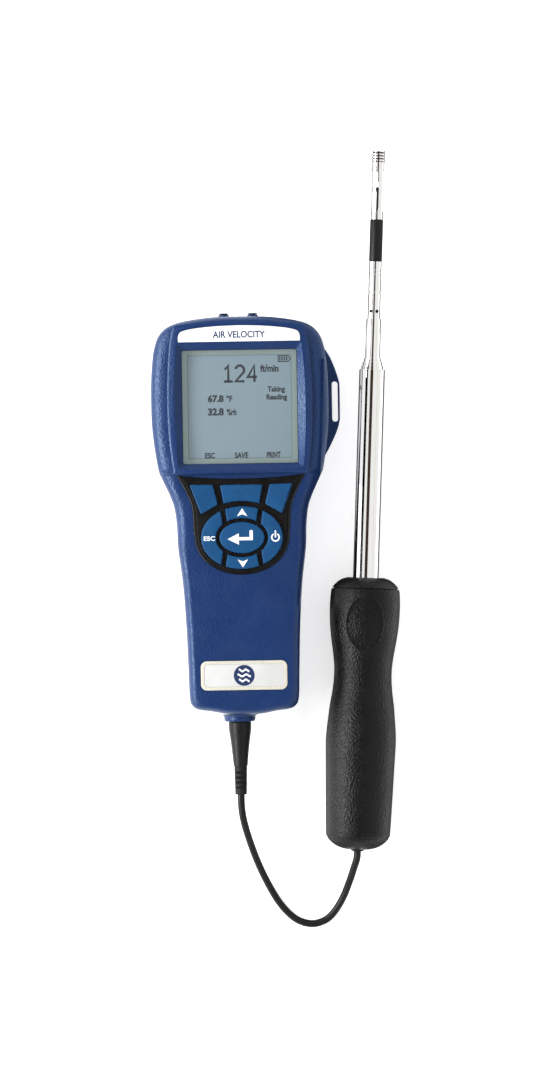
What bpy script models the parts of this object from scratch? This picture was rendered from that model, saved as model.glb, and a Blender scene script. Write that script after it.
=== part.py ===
"""A handheld air-velocity meter lying on its back, with its corded telescopic probe beside it.

Metres, +Z up. The origin is the centre of the meter's flat back: the screen faces +Z and the
top of the meter points to +Y. Lengths below are in millimetres, and MM turns them into metres.
"""

import math

import bmesh
import bpy
from mathutils import Matrix, Vector

MM = 0.001

# Meter casing: heights of its faces over the flat back, and its walls.
PANEL_FACE = 43.2
HEAD_FACE = 42.0
KEYPAD_FACE = 40.2
GRIP_FACE = 38.2
PARTING = 18.0
SEAM = 0.15
WALL = 2.0
FRONT_WALL = 2.4
HALF_LENGTH = 88.0

# Right half of the casing's outline, from the middle of its lower end to the middle of its top.
HALF_OUTLINE = [
    (0.0, -87.6),
    (7.5, -87.3),
    (14.0, -86.1),
    (20.0, -85.2),
    (22.8, -83.6),
    (24.1, -80.0),
    (24.5, -68.0),
    (25.0, -52.0),
    (25.6, -40.0),
    (26.5, -28.0),
    (28.2, -14.0),
    (28.6, -4.0),
    (29.6, 4.0),
    (31.7, 10.0),
    (35.1, 17.5),
    (36.4, 21.0),
    (38.1, 32.0),
    (39.0, 42.0),
    (39.1, 56.0),
    (38.6, 66.0),
    (37.5, 74.0),
    (35.3, 80.0),
    (31.0, 84.0),
    (24.0, 86.2),
    (12.5, 87.7),
    (0.0, 88.0),
]

# Pieces that cross the seam between the two casing halves: the probe socket, a little left of the
# middle, and the top ports.
SOCKET_RADIUS = 5.0
SOCKET_X = -2.0
PORT_X = 6.4
FIT = 0.3

SCREW_PLACES = [(-31.2, 62.0), (31.2, 62.0), (-22.9, -7.0), (22.9, -7.0)]

# Keypad: an oval cluster of five keys under a row of three.
OVAL_Y = -9.5
KEY_TOP = 42.2
KEY_BASE = 38.3
BEZEL_TOP = 41.1

# Probe: its axis starts at the middle of the handle's lower end and leans to the right.
HANDLE_END = (49.35, -147.0, 15.6)
PROBE_LEAN = math.radians(2.67)
HANDLE_LENGTH = 119.0
HANDLE_WALL = 2.0

# Handle radius at each distance from its lower end.
HANDLE_PROFILE = [
    (-1.6, 5.2),
    (-0.9, 8.0),
    (0.4, 10.6),
    (2.4, 12.9),
    (4.2, 13.9),
    (6.0, 14.3),
    (20.0, 14.8),
    (36.0, 15.3),
    (46.0, 15.6),
    (52.0, 15.3),
    (57.0, 14.8),
    (62.0, 14.3),
    (68.0, 13.4),
    (73.0, 12.9),
    (78.0, 12.8),
    (82.0, 13.1),
    (87.0, 13.8),
    (92.0, 14.6),
    (98.0, 15.3),
    (105.0, 15.6),
    (111.0, 15.4),
    (114.0, 14.9),
    (116.5, 13.0),
    (118.2, 10.6),
    (119.0, 8.0),
]
TOP_CAP_START = 114.0
END_CAP_STOP = 6.0

# Telescopic sections, widest first: outer radius, inner radius, lower end, upper end.
TUBES = [
    ("outer_tube", 5.70, 4.92, 14.0, 211.4),
    ("tube_section_1", 4.80, 4.42, 15.0, 213.1),
    ("tube_section_2", 4.30, 3.92, 16.0, 214.8),
    ("tube_section_3", 3.80, 3.42, 17.0, 216.5),
    ("tube_section_4", 3.30, 2.92, 18.0, 234.0),
    ("tip_tube", 2.80, 2.40, 19.0, 259.5),
]
TUBE_SIDES = 24

CORD_DIAMETER = 3.2
CORD_ROUTE = [
    (-2.0, -123.4, 18.0),
    (-1.9, -128.5, 17.6),
    (-1.2, -134.0, 16.2),
    (0.4, -140.5, 13.0),
    (2.8, -148.0, 9.2),
    (5.6, -155.4, 6.0),
    (9.2, -163.2, 3.6),
    (13.7, -171.3, 2.1),
    (18.7, -177.4, 1.7),
    (23.6, -180.9, 1.7),
    (29.4, -182.1, 1.7),
    (35.0, -180.4, 1.8),
    (39.2, -176.4, 2.6),
    (42.8, -170.4, 4.8),
    (45.5, -163.6, 8.6),
    (47.5, -157.4, 12.6),
    (48.9, -152.8, 15.2),
    (49.2, -149.6, 15.6),
]


def clear_scene():
    for thing in list(bpy.data.objects):
        bpy.data.objects.remove(thing)


def material(name, color, metallic=0.0, roughness=0.5):
    made = bpy.data.materials.new(name)
    made.use_nodes = True
    shader = made.node_tree.nodes["Principled BSDF"]
    shader.inputs["Base Color"].default_value = (*color, 1.0)
    shader.inputs["Metallic"].default_value = metallic
    shader.inputs["Roughness"].default_value = roughness
    return made


def add_mesh(name, points, faces, look, place=None):
    """A closed mesh object from points in millimetres, with its faces turned outward."""
    mesh = bpy.data.meshes.new(name)
    mesh.from_pydata([Vector(p) * MM for p in points], [], faces)
    shape = bmesh.new()
    shape.from_mesh(mesh)
    bmesh.ops.recalc_face_normals(shape, faces=shape.faces)
    shape.to_mesh(mesh)
    shape.free()
    made = bpy.data.objects.new(name, mesh)
    bpy.context.scene.collection.objects.link(made)
    if look is not None:
        mesh.materials.append(look)
    if place is not None:
        made.matrix_world = place
    return made


def hide_cutter(cutter):
    cutter.hide_render = True
    cutter.display_type = "WIRE"


def combine(target, other, operation):
    modifier = target.modifiers.new(other.name, "BOOLEAN")
    modifier.operation = operation
    modifier.solver = "EXACT"
    modifier.object = other
    hide_cutter(other)


def cut(target, cutter):
    combine(target, cutter, "DIFFERENCE")


def join(target, addition):
    combine(target, addition, "UNION")


def stack(rings, close_ends=True):
    """Faces that skin equal rings of points one after the other, with a polygon on each end."""
    count = len(rings[0])
    points = [p for ring in rings for p in ring]
    faces = []
    for level in range(len(rings) - 1):
        low = level * count
        high = low + count
        for i in range(count):
            j = (i + 1) % count
            faces.append((low + i, low + j, high + j, high + i))
    if close_ends:
        faces.append(tuple(range(count)))
        faces.append(tuple(range(len(points) - count, len(points))))
    return points, faces


def prism(name, outline, low, high, look, place=None, shrink=0.0):
    """An outline in X and Y raised from `low` to `high`, its top edge drawn in by `shrink`."""
    rings = [[(x, y, low) for x, y in outline]]
    if shrink:
        rings.append([(x, y, high - shrink) for x, y in outline])
        outline = inset(outline, shrink)
    rings.append([(x, y, high) for x, y in outline])
    points, faces = stack(rings)
    return add_mesh(name, points, faces, look, place)


def box(name, low, high, look, place=None):
    outline = [(low[0], low[1]), (high[0], low[1]), (high[0], high[1]), (low[0], high[1])]
    return prism(name, outline, low[2], high[2], look, place)


def inset(outline, distance):
    """The outline with every edge moved inward by `distance`, corners kept sharp."""
    area = sum(
        a[0] * b[1] - b[0] * a[1] for a, b in zip(outline, outline[1:] + outline[:1])
    )
    turn = 1.0 if area > 0 else -1.0
    moved = []
    count = len(outline)
    for i in range(count):
        here = Vector(outline[i])
        along_in = (here - Vector(outline[i - 1])).normalized()
        along_out = (Vector(outline[(i + 1) % count]) - here).normalized()
        normal_in = Vector((-along_in.y, along_in.x)) * turn
        normal_out = Vector((-along_out.y, along_out.x)) * turn
        middle = (normal_in + normal_out).normalized()
        reach = distance / max(0.35, middle.dot(normal_out))
        moved.append(tuple(here + middle * reach))
    return moved


def rounded_box_outline(width, height, radius, centre=(0.0, 0.0), steps=3):
    """A rectangle with round corners, counter-clockwise."""
    outline = []
    for corner in range(4):
        side_x = 1 if corner in (0, 3) else -1
        side_y = 1 if corner in (0, 1) else -1
        x = centre[0] + side_x * (width / 2 - radius)
        y = centre[1] + side_y * (height / 2 - radius)
        for k in range(steps + 1):
            angle = math.radians(90 * corner + 90 * k / steps)
            outline.append((x + radius * math.cos(angle), y + radius * math.sin(angle)))
    return outline


def turned(name, profile, sides, look, place, loop=False):
    """Turns (distance along, radius) pairs about the local Y axis.

    A plain profile is closed by a flat disc at each end. A loop is a ring's whole section.
    """
    rings = []
    for along, radius in profile:
        ring = []
        for k in range(sides):
            angle = 2 * math.pi * k / sides
            ring.append((radius * math.cos(angle), along, radius * math.sin(angle)))
        rings.append(ring)
    if loop:
        rings.append(rings[0])
    points, faces = stack(rings, close_ends=not loop)
    if loop:
        last = len(points) - sides
        points = points[:last]
        faces = [tuple(i % last for i in face) for face in faces]
    return add_mesh(name, points, faces, look, place)


def tube(name, outer, inner, low, high, sides, look, place):
    section = [(low, outer), (high, outer), (high, inner), (low, inner)]
    return turned(name, section, sides, look, place, loop=True)


def along_z(name, profile, sides, look, x, y):
    """Turns (height, radius) pairs about a vertical axis through x, y."""
    place = Matrix.Translation(Vector((x, y, 0.0)) * MM) @ Matrix.Rotation(math.pi / 2, 4, "X")
    return turned(name, profile, sides, look, place)


def along_y(x, z):
    return Matrix.Translation(Vector((x, 0.0, z)) * MM)


def probe_place():
    """The probe's own frame: local Y runs from the handle's lower end to the tip."""
    return Matrix.Translation(Vector(HANDLE_END) * MM) @ Matrix.Rotation(-PROBE_LEAN, 4, "Z")


def between(pairs, at):
    """Straight-line reading of a list of (place, value) pairs."""
    if at <= pairs[0][0]:
        return pairs[0][1]
    for (a, low), (b, high) in zip(pairs, pairs[1:]):
        if at <= b:
            return low + (high - low) * (at - a) / (b - a)
    return pairs[-1][1]


def face_height(y):
    return between(
        [(-52.0, GRIP_FACE), (-28.0, KEYPAD_FACE), (18.3, KEYPAD_FACE), (21.0, HEAD_FACE)], y
    )


def side_rounding(y):
    """How far the casing's front edge rounding reaches in from its side."""
    return between([(-28.0, 3.4), (10.0, 5.0), (21.0, 7.5)], y)


def reference_width(y):
    """Half the casing's width, held level past the corners of its two ends."""
    straight = [(y, x) for x, y in HALF_OUTLINE[5:21]]
    return between(straight, y)


def casing_ring(inset_x, inset_y, height):
    """The casing's outline drawn in on all sides. `inset_x` and `height` are functions of y."""
    right = []
    for x, y in HALF_OUTLINE:
        moved_x = x * (1 - inset_x(y) / reference_width(y))
        moved_y = y * (1 - inset_y / HALF_LENGTH)
        right.append((moved_x, moved_y, height(y)))
    left = [(-x, y, z) for x, y, z in right[-2:0:-1]]
    return right + left


def ladder(start, count):
    """Faces that close a casing ring with rungs from its right side to its left."""
    half = count // 2
    faces = []
    for i in range(half):
        rung = [i, i + 1, (count - i - 1) % count, (count - i) % count]
        corners = []
        for k in rung:
            if k not in corners:
                corners.append(k)
        faces.append(tuple(start + k for k in corners))
    return faces


def casing_shell(name, rings, look):
    """A cup: rings from the middle of one face, out round the rim, to the middle of the other."""
    points, faces = stack(rings, close_ends=False)
    count = len(rings[0])
    faces += ladder(0, count)
    faces += ladder(len(points) - count, count)
    return add_mesh(name, points, faces, look)


def front_rings():
    rings = []
    for degrees in (90, 62, 32, 0):
        lean = math.radians(degrees)
        inward = 1 - math.cos(lean)
        drop = 1 - math.sin(lean)
        rings.append(
            casing_ring(
                lambda y: side_rounding(y) * inward,
                2.8 * inward,
                lambda y: face_height(y) - 5.0 * drop,
            )
        )
    rings.append(casing_ring(lambda y: 0.0, 0.0, lambda y: PARTING + SEAM))
    rings.append(casing_ring(lambda y: WALL, WALL, lambda y: PARTING + SEAM))
    rings.append(casing_ring(lambda y: WALL, WALL, lambda y: face_height(y) - 6.5))
    rings.append(
        casing_ring(
            lambda y: 0.75 * side_rounding(y) + 1.2, 4.2, lambda y: face_height(y) - FRONT_WALL
        )
    )
    return rings


def rear_rings():
    flat = lambda value: (lambda y: value)
    return [
        casing_ring(flat(4.0), 4.0, flat(0.0)),
        casing_ring(flat(1.3), 1.3, flat(1.4)),
        casing_ring(flat(0.2), 0.2, flat(4.5)),
        casing_ring(flat(0.0), 0.0, flat(PARTING - SEAM)),
        casing_ring(flat(WALL), WALL, flat(PARTING - SEAM)),
        casing_ring(flat(WALL + 0.2), WALL + 0.2, flat(4.6)),
        casing_ring(flat(4.6), 4.6, flat(2.2)),
    ]


def cut_end_openings(shell, tag):
    """Openings in the casing's ends for the probe socket and the two top ports."""
    socket = turned(
        f"cut_{tag}_socket",
        [(-92.0, SOCKET_RADIUS + FIT), (-80.0, SOCKET_RADIUS + FIT)],
        20,
        None,
        along_y(SOCKET_X, PARTING),
    )
    cut(shell, socket)
    for side, x in (("left", -PORT_X), ("right", PORT_X)):
        port = turned(
            f"cut_{tag}_port_{side}", [(80.0, 2.2), (92.0, 2.2)], 12, None, along_y(x, PARTING)
        )
        cut(shell, port)


def panel_outline():
    """Outline of the raised panel round the screen, with bowed sides."""
    right = [(29.6, 19.0), (31.4, 34.0), (32.0, 52.0), (31.2, 70.0), (29.6, 81.4)]
    top = [(26.8, 84.3), (14.0, 85.4)]
    half = right + top
    return half + [(-x, y) for x, y in reversed(half)]


def bezel_outline():
    right = [
        (0.0, -25.6),
        (8.8, -24.1),
        (16.0, -19.7),
        (19.8, -13.8),
        (21.0, -6.8),
        (22.0, 5.5),
        (28.0, 18.0),
        (14.0, 16.6),
        (0.0, 16.3),
    ]
    return right + [(-x, y) for x, y in right[-2:0:-1]]


def ellipse_arc(half_width, half_height, start, stop, steps):
    """Points of the key cluster's ellipse between two angles in degrees."""
    points = []
    for k in range(steps + 1):
        angle = math.radians(start + (stop - start) * k / steps)
        points.append((half_width * math.cos(angle), OVAL_Y + half_height * math.sin(angle)))
    return points


def ring_key_outline(middle, outer_spread, inner_spread):
    """One of the four keys round the enter key, centred on an angle."""
    outer = ellipse_arc(18.0, 13.8, middle - outer_spread, middle + outer_spread, 6)
    inner = ellipse_arc(11.5, 8.6, middle + inner_spread, middle - inner_spread, 6)
    return outer + inner


def key_outlines():
    left = [(-22.7, 14.1), (-17.9, 0.9), (-10.4, 5.2), (-12.5, 13.9)]
    return {
        "softkey_left": left,
        "softkey_right": [(-x, y) for x, y in reversed(left)],
        "softkey_middle": [
            (-7.9, 5.5),
            (-4.0, 6.3),
            (0.0, 6.6),
            (4.0, 6.3),
            (7.9, 5.5),
            (9.4, 13.8),
            (-9.4, 13.8),
        ],
        "up_key": ring_key_outline(90, 24, 34),
        "down_key": ring_key_outline(270, 24, 34),
        "escape_key": ring_key_outline(180, 59, 43),
        "power_key": ring_key_outline(0, 59, 43),
        "enter_key": ellipse_arc(9.9, 6.9, 0, 345, 23),
    }


def front_casing(look):
    shell = casing_shell("front_casing", front_rings(), look)
    outline = panel_outline()
    panel = prism("add_panel", outline, HEAD_FACE - 1.8, PANEL_FACE, None, shrink=1.2)
    join(shell, panel)
    for i, (x, y) in enumerate(SCREW_PLACES):
        boss = along_z(
            f"add_boss_{i}", [(8.3, 3.0), (face_height(y) - 1.6, 3.0)], 12, None, x, y
        )
        join(shell, boss)
        bore = along_z(f"cut_bore_{i}", [(7.0, 1.5), (22.0, 1.5)], 8, None, x, y)
        cut(shell, bore)
    window_low = rounded_box_outline(51.0, 50.4, 3.0, (0.0, 48.2))
    window_high = rounded_box_outline(57.8, 57.0, 4.2, (0.0, 48.0))
    points, faces = stack(
        [
            [(x, y, HEAD_FACE - 5.0) for x, y in window_low],
            [(x, y, HEAD_FACE - FRONT_WALL) for x, y in window_low],
            [(x, y, PANEL_FACE + 0.5) for x, y in window_high],
        ]
    )
    cut(shell, add_mesh("cut_window", points, faces, None))
    label = prism("cut_label", label_outline(0.25), PANEL_FACE - 0.6, PANEL_FACE + 1, None)
    cut(shell, label)
    plate_outline = rounded_box_outline(38.7, 13.5, 3.0, (0.0, -70.2))
    cut(shell, prism("cut_plate", plate_outline, GRIP_FACE - 0.9, GRIP_FACE + 2, None))
    seat = inset(bezel_outline(), -FIT)
    cut(shell, prism("cut_bezel_seat", seat, KEYPAD_FACE - 1.2, KEYPAD_FACE + 1.4, None))
    opening = inset(bezel_outline(), 1.6)
    cut(shell, prism("cut_keypad", opening, KEYPAD_FACE - 4.0, KEYPAD_FACE, None))
    cut_end_openings(shell, "front")


def label_outline(grow=0.0):
    """The name label above the screen: straight below, arched above."""
    half = [(26.6 + grow, 77.0 - grow), (26.6 + grow, 80.6 + grow), (24.6 + grow, 82.2 + grow)]
    half += [(11.0, 83.8 + grow)]
    return half + [(-x, y) for x, y in reversed(half)]


def strap_loop_outline():
    """Outline of the strap loop. Its inner edge runs inside the casing's side wall."""
    return [
        (36.9, 25.0),
        (39.8, 30.0),
        (42.9, 36.5),
        (44.5, 41.5),
        (44.7, 45.0),
        (44.7, 56.0),
        (44.2, 60.0),
        (41.8, 67.2),
        (39.4, 72.0),
        (36.8, 75.5),
        (36.4, 73.0),
        (37.3, 66.0),
        (37.7, 56.0),
        (37.6, 42.0),
        (36.6, 31.0),
        (35.8, 25.0),
    ]


def rear_casing(look):
    shell = casing_shell("rear_casing", rear_rings(), look)
    join(shell, prism("add_strap_loop", strap_loop_outline(), 9.0, 15.5, None))
    slot = rounded_box_outline(2.7, 17.9, 1.2, (42.5, 50.3), steps=2)
    cut(shell, prism("cut_strap_slot", slot, 5.0, 20.0, None))
    for i, (x, y) in enumerate(SCREW_PLACES):
        join(shell, along_z(f"add_foot_{i}", [(1.0, 4.0), (7.8, 4.0)], 12, None, x, y))
        cut(shell, along_z(f"cut_head_{i}", [(-1.0, 2.9), (3.2, 2.9)], 12, None, x, y))
        cut(shell, along_z(f"cut_shank_{i}", [(3.0, 1.5), (9.0, 1.5)], 8, None, x, y))
    cut(shell, box("cut_door_way", (-17.3, -95.0, -1.0), (17.3, -21.7, 3.9), None))
    cut_end_openings(shell, "rear")


def battery_door(look):
    side = [(-22.0, 0.0), (-82.2, 0.0), (-84.7, 1.4), (-85.7, 3.6), (-22.0, 3.6)]
    points, faces = stack([[(x, y, z) for y, z in side] for x in (-17.0, 17.0)])
    door = add_mesh("battery_door", points, faces, look)
    join(door, box("add_door_rail", (-19.4, -57.5, 2.5), (19.4, -22.6, 3.6), None))
    for i in range(3):
        y = -74.0 - 2.6 * i
        groove = box(f"cut_grip_{i}", (-8.0, y - 0.6, -1.0), (8.0, y + 0.6, 0.7), None)
        cut(door, groove)


def meter_pieces(looks):
    front_casing(looks["casing"])
    rear_casing(looks["casing"])
    battery_door(looks["casing"])
    for i, (x, y) in enumerate(SCREW_PLACES):
        profile = [(0.9, 2.2), (1.4, 2.5), (2.7, 2.5), (2.7, 1.1), (17.0, 1.1), (17.8, 0.5)]
        screw = along_z(f"case_screw_{i + 1}", profile, 12, looks["steel"], x, y)
        cross = box(f"cut_cross_{i}", (x - 1.6, y - 0.35, 0.0), (x + 1.6, y + 0.35, 1.9), None)
        cut(screw, cross)
    collar = [(-91.0, 6.1), (-90.6, 6.9), (-88.3, 6.9), (-87.9, 6.5), (-87.9, 5.3), (-91.0, 5.3)]
    turned("socket_collar", collar, 24, looks["casing"], along_y(SOCKET_X, PARTING), loop=True)
    tube(
        "probe_socket", SOCKET_RADIUS, 2.85, -90.8, -75.6, 20, looks["black"],
        along_y(SOCKET_X, PARTING),
    )
    for side, x in (("left", -PORT_X), ("right", PORT_X)):
        cap = [(83.0, 1.9), (88.35, 1.9), (88.35, 2.4), (89.6, 2.4), (90.0, 2.0)]
        turned(f"top_port_{side}", cap, 16, looks["rubber"], along_y(x, PARTING))
    screen_pieces(looks)
    keypad_pieces(looks)
    inner_pieces(looks)
    prism("name_label", label_outline(), PANEL_FACE - 0.3, PANEL_FACE + 0.1, looks["label"])
    plate_outline = rounded_box_outline(38.1, 12.9, 2.7, (0.0, -70.2))
    prism(
        "rating_plate", plate_outline, GRIP_FACE - 0.6, GRIP_FACE + 0.25, looks["plate"],
        shrink=0.2,
    )


def screen_pieces(looks):
    top = HEAD_FACE - FRONT_WALL - FIT
    lens = rounded_box_outline(54.6, 54.0, 3.0, (0.0, 48.2))
    prism("screen_lens", lens, top - 1.2, top, looks["clear"])
    glass = rounded_box_outline(50.6, 50.0, 1.0, (0.0, 48.2), steps=1)
    prism("lcd_panel", glass, top - 4.1, top - 1.5, looks["lcd"])
    frame_outline = rounded_box_outline(55.0, 54.4, 1.5, (0.0, 48.2), steps=1)
    frame = prism("lcd_holder", frame_outline, top - 6.5, top - 1.5, looks["black"])
    opening = rounded_box_outline(51.2, 50.6, 1.2, (0.0, 48.2), steps=1)
    cut(frame, prism("cut_lcd_seat", opening, top - 4.4, top, None))
    cut(frame, box("cut_lcd_back", (-20.0, 30.0, top - 8.0), (20.0, 66.0, top - 3.0), None))


def keypad_pieces(looks):
    bezel = prism(
        "keypad_bezel", bezel_outline(), KEYPAD_FACE - 0.9, BEZEL_TOP, looks["black"], shrink=0.5
    )
    for name, outline in key_outlines().items():
        hole = prism(f"cut_{name}", inset(outline, -0.32), 36.0, 46.0, None)
        cut(bezel, hole)
        prism(name, outline, KEY_BASE, KEY_TOP, looks["key"], shrink=0.6)
    membrane = inset(bezel_outline(), 1.9)
    prism("keypad_membrane", membrane, 35.6, 37.1, looks["silicone"])


def inner_pieces(looks):
    board = [
        (-19.4, -60.0),
        (19.4, -60.0),
        (19.4, 18.0),
        (26.0, 18.0),
        (26.0, 78.0),
        (-26.0, 78.0),
        (-26.0, 18.0),
        (-19.4, 18.0),
    ]
    prism("main_board", board, 30.2, 31.8, looks["board"])
    box("processor_chip", (-7.0, 34.0, 28.2), (7.0, 48.0, 29.9), looks["black"])
    along_z("buzzer", [(24.0, 6.0), (29.9, 6.0)], 20, looks["black"], 12.0, 64.0)
    tray = box("battery_tray", (-15.4, -75.0, 4.2), (15.4, -14.0, 23.6), looks["black"])
    cut(tray, box("cut_tray", (-14.0, -73.6, 3.0), (14.0, -15.4, 22.3), None))
    box("battery_block", (-13.2, -72.9, 4.4), (13.2, -24.4, 21.8), looks["battery"])
    for name, x, radius in (("battery_stud_plus", -6.3, 2.9), ("battery_stud_minus", 6.3, 3.8)):
        turned(name, [(-24.1, radius), (-21.4, radius)], 12, looks["steel"], along_y(x, 13.1))
    box("battery_snap", (-12.8, -21.1, 7.0), (12.8, -18.4, 19.2), looks["black"])


def plug_pieces(looks):
    place = along_y(SOCKET_X, PARTING)
    plug = [(-91.3, 4.6), (-92.0, 5.0), (-95.0, 4.9), (-99.0, 4.3), (-105.0, 3.6), (-110.9, 3.2)]
    turned("plug_body", plug, 24, looks["black"], place)
    turned(
        "plug_contact_sleeve", [(-91.0, 2.5), (-79.0, 2.5), (-78.2, 2.0)], 16, looks["steel"],
        place,
    )
    relief = turned("strain_relief", [(-111.2, 2.85), (-123.1, 2.6)], 20, looks["rubber"], place)
    for row in range(4):
        y = -113.6 - 2.2 * row
        for side in (-1, 1):
            high = box(
                f"cut_relief_{row}_{side}",
                (SOCKET_X - 3.2, y - 0.5, PARTING + min(side * 1.5, side * 4.0)),
                (SOCKET_X + 3.2, y + 0.5, PARTING + max(side * 1.5, side * 4.0)),
                None,
            )
            cut(relief, high)


def smooth_route(points, steps):
    """Points of a smooth curve through `points`, `steps` to each span."""
    route = []
    spots = [Vector(p) for p in points]
    for i in range(len(spots) - 1):
        before = spots[max(i - 1, 0)]
        here, after = spots[i], spots[i + 1]
        beyond = spots[min(i + 2, len(spots) - 1)]
        for k in range(steps):
            t = k / steps
            route.append(
                0.5
                * (
                    2 * here
                    + (after - before) * t
                    + (2 * before - 5 * here + 4 * after - beyond) * t**2
                    + (3 * here - before - 3 * after + beyond) * t**3
                )
            )
    route.append(spots[-1])
    return route


def probe_cable(look):
    curve = bpy.data.curves.new("probe_cable", "CURVE")
    curve.dimensions = "3D"
    curve.bevel_depth = CORD_DIAMETER / 2 * MM
    curve.bevel_resolution = 2
    curve.use_fill_caps = True
    route = smooth_route(CORD_ROUTE, 2)
    line = curve.splines.new("POLY")
    line.points.add(len(route) - 1)
    for spot, target in zip(route, line.points):
        target.co = (*(spot * MM), 1.0)
    made = bpy.data.objects.new("probe_cable", curve)
    made.data.materials.append(look)
    bpy.context.scene.collection.objects.link(made)


def handle_half(name, side, look, place):
    """Half of the handle's hollow grip, split along its length. `side` is 1 above, -1 below."""
    stations = [(END_CAP_STOP + 0.3, between(HANDLE_PROFILE, END_CAP_STOP + 0.3))]
    stations += [p for p in HANDLE_PROFILE if END_CAP_STOP + 1 < p[0] < TOP_CAP_START - 1]
    stations.append((TOP_CAP_START - 0.3, between(HANDLE_PROFILE, TOP_CAP_START - 0.3)))
    steps = 14
    rings = []
    for along, radius in stations:
        ring = []
        for reach in (radius, radius - HANDLE_WALL):
            start = math.asin(SEAM / reach)
            sweep = math.pi - 2 * start
            arc = []
            for k in range(steps + 1):
                angle = start + sweep * k / steps
                arc.append((reach * math.cos(angle), along, side * reach * math.sin(angle)))
            ring += arc if reach == radius else list(reversed(arc))
        rings.append(ring)
    points, faces = stack(rings)
    return add_mesh(name, points, faces, look, place)


def thumb_recess(shell, place):
    """A shallow oval dish in the handle's upper side."""
    rings = []
    for depth, share in ((-0.3, 0.12), (0.0, 0.5), (0.35, 0.8), (1.0, 1.0), (3.5, 1.12)):
        ring = []
        for k in range(24):
            angle = 2 * math.pi * k / 24
            x = 8.4 * share * math.cos(angle)
            y = 98.6 + 11.8 * share * math.sin(angle)
            ring.append((x, y, 13.8 + depth))
        rings.append(ring)
    points, faces = stack(rings)
    cut(shell, add_mesh("cut_thumb_recess", points, faces, None, place))


def handle_pieces(looks, place):
    shell = handle_half("handle_front_shell", 1, looks["grip"], place)
    thumb_recess(shell, place)
    handle_half("handle_rear_shell", -1, looks["grip"], place)
    top = [p for p in HANDLE_PROFILE if p[0] >= TOP_CAP_START]
    top_section = top + [(HANDLE_LENGTH, 5.85), (TOP_CAP_START, 5.85)]
    turned("handle_top_cap", top_section, 28, looks["grip"], place, loop=True)
    end = [p for p in HANDLE_PROFILE if p[0] <= END_CAP_STOP]
    end_section = end + [(END_CAP_STOP, 3.7), (-1.6, 3.7)]
    turned("handle_end_cap", end_section, 28, looks["black"], place, loop=True)
    grommet = [(-2.1, 2.6), (-1.6, 3.4), (5.0, 3.4), (5.0, 1.7)]
    turned("cable_grommet", grommet, 16, looks["rubber"], place)
    tube("tube_bushing", 12.0, 5.85, 50.0, 56.0, 20, looks["black"], place)
    turned("handle_board", [(9.0, 9.5), (10.6, 9.5)], 20, looks["board"], place)


def telescope(looks, place):
    for name, outer, inner, low, high in TUBES:
        tube(name, outer, inner, low, high, TUBE_SIDES, looks["chrome"], place)
    tube("insulating_band", 2.9, 1.3, 259.8, 277.6, 20, looks["black"], place)
    shroud = tube("sensor_shroud", 2.75, 2.2, 277.9, 303.0, 24, looks["chrome"], place)
    for turn in range(3):
        spin = Matrix.Rotation(math.radians(120 * turn + 90), 4, "Y")
        gap = box(f"cut_shroud_{turn}", (-1.75, 281.5, 0.5), (1.75, 299.5, 4.0), None)
        gap.matrix_world = place @ spin
        cut(shroud, gap)
    turned("velocity_sensor", [(278.2, 0.5), (290.0, 0.5), (291.0, 0.9), (292.4, 0.9)], 10,
           looks["black"], place)
    turned("temperature_sensor", [(294.6, 0.7), (296.0, 0.9), (302.6, 0.5)], 10, looks["steel"],
           place)
    ribs = [(303.3, 2.8)]
    for rib in range(3):
        low = 303.9 + 1.3 * rib
        ribs += [(low, 3.0), (low + 0.8, 3.0), (low + 1.0, 2.7), (low + 1.2, 2.7)]
    ribs += [(308.2, 2.9), (308.9, 2.2)]
    turned("tip_cap", ribs, 20, looks["chrome"], place)


def all_looks():
    return {
        "casing": material("blue_plastic", (0.022, 0.058, 0.20), roughness=0.5),
        "key": material("key_silicone", (0.012, 0.095, 0.26), roughness=0.6),
        "black": material("black_plastic", (0.012, 0.012, 0.013), roughness=0.45),
        "grip": material("grained_black", (0.016, 0.016, 0.017), roughness=0.6),
        "rubber": material("black_rubber", (0.014, 0.014, 0.014), roughness=0.7),
        "silicone": material("membrane_silicone", (0.35, 0.36, 0.38), roughness=0.7),
        "clear": material("clear_plastic", (0.75, 0.8, 0.82), roughness=0.1),
        "lcd": material("lcd_grey", (0.26, 0.36, 0.41), roughness=0.3),
        "label": material("white_label", (0.86, 0.87, 0.88), roughness=0.4),
        "plate": material("silver_plate", (0.8, 0.8, 0.79), roughness=0.35),
        "steel": material("bright_steel", (0.6, 0.6, 0.6), metallic=1.0, roughness=0.3),
        "chrome": material("chromed_brass", (0.8, 0.8, 0.8), metallic=1.0, roughness=0.1),
        "board": material("circuit_board", (0.02, 0.12, 0.05), roughness=0.5),
        "battery": material("battery_wrap", (0.1, 0.1, 0.11), roughness=0.4),
    }


def main():
    clear_scene()
    looks = all_looks()
    place = probe_place()
    meter_pieces(looks)
    plug_pieces(looks)
    probe_cable(looks["rubber"])
    handle_pieces(looks, place)
    telescope(looks, place)


main()
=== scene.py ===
"""Looks of the handheld air-velocity meter: fine surfaces, materials, light and camera.

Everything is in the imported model's frame. Lengths are in millimetres, and MM turns them into metres.
"""

import math
import bmesh
import bpy
from mathutils import Matrix, Vector


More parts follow.
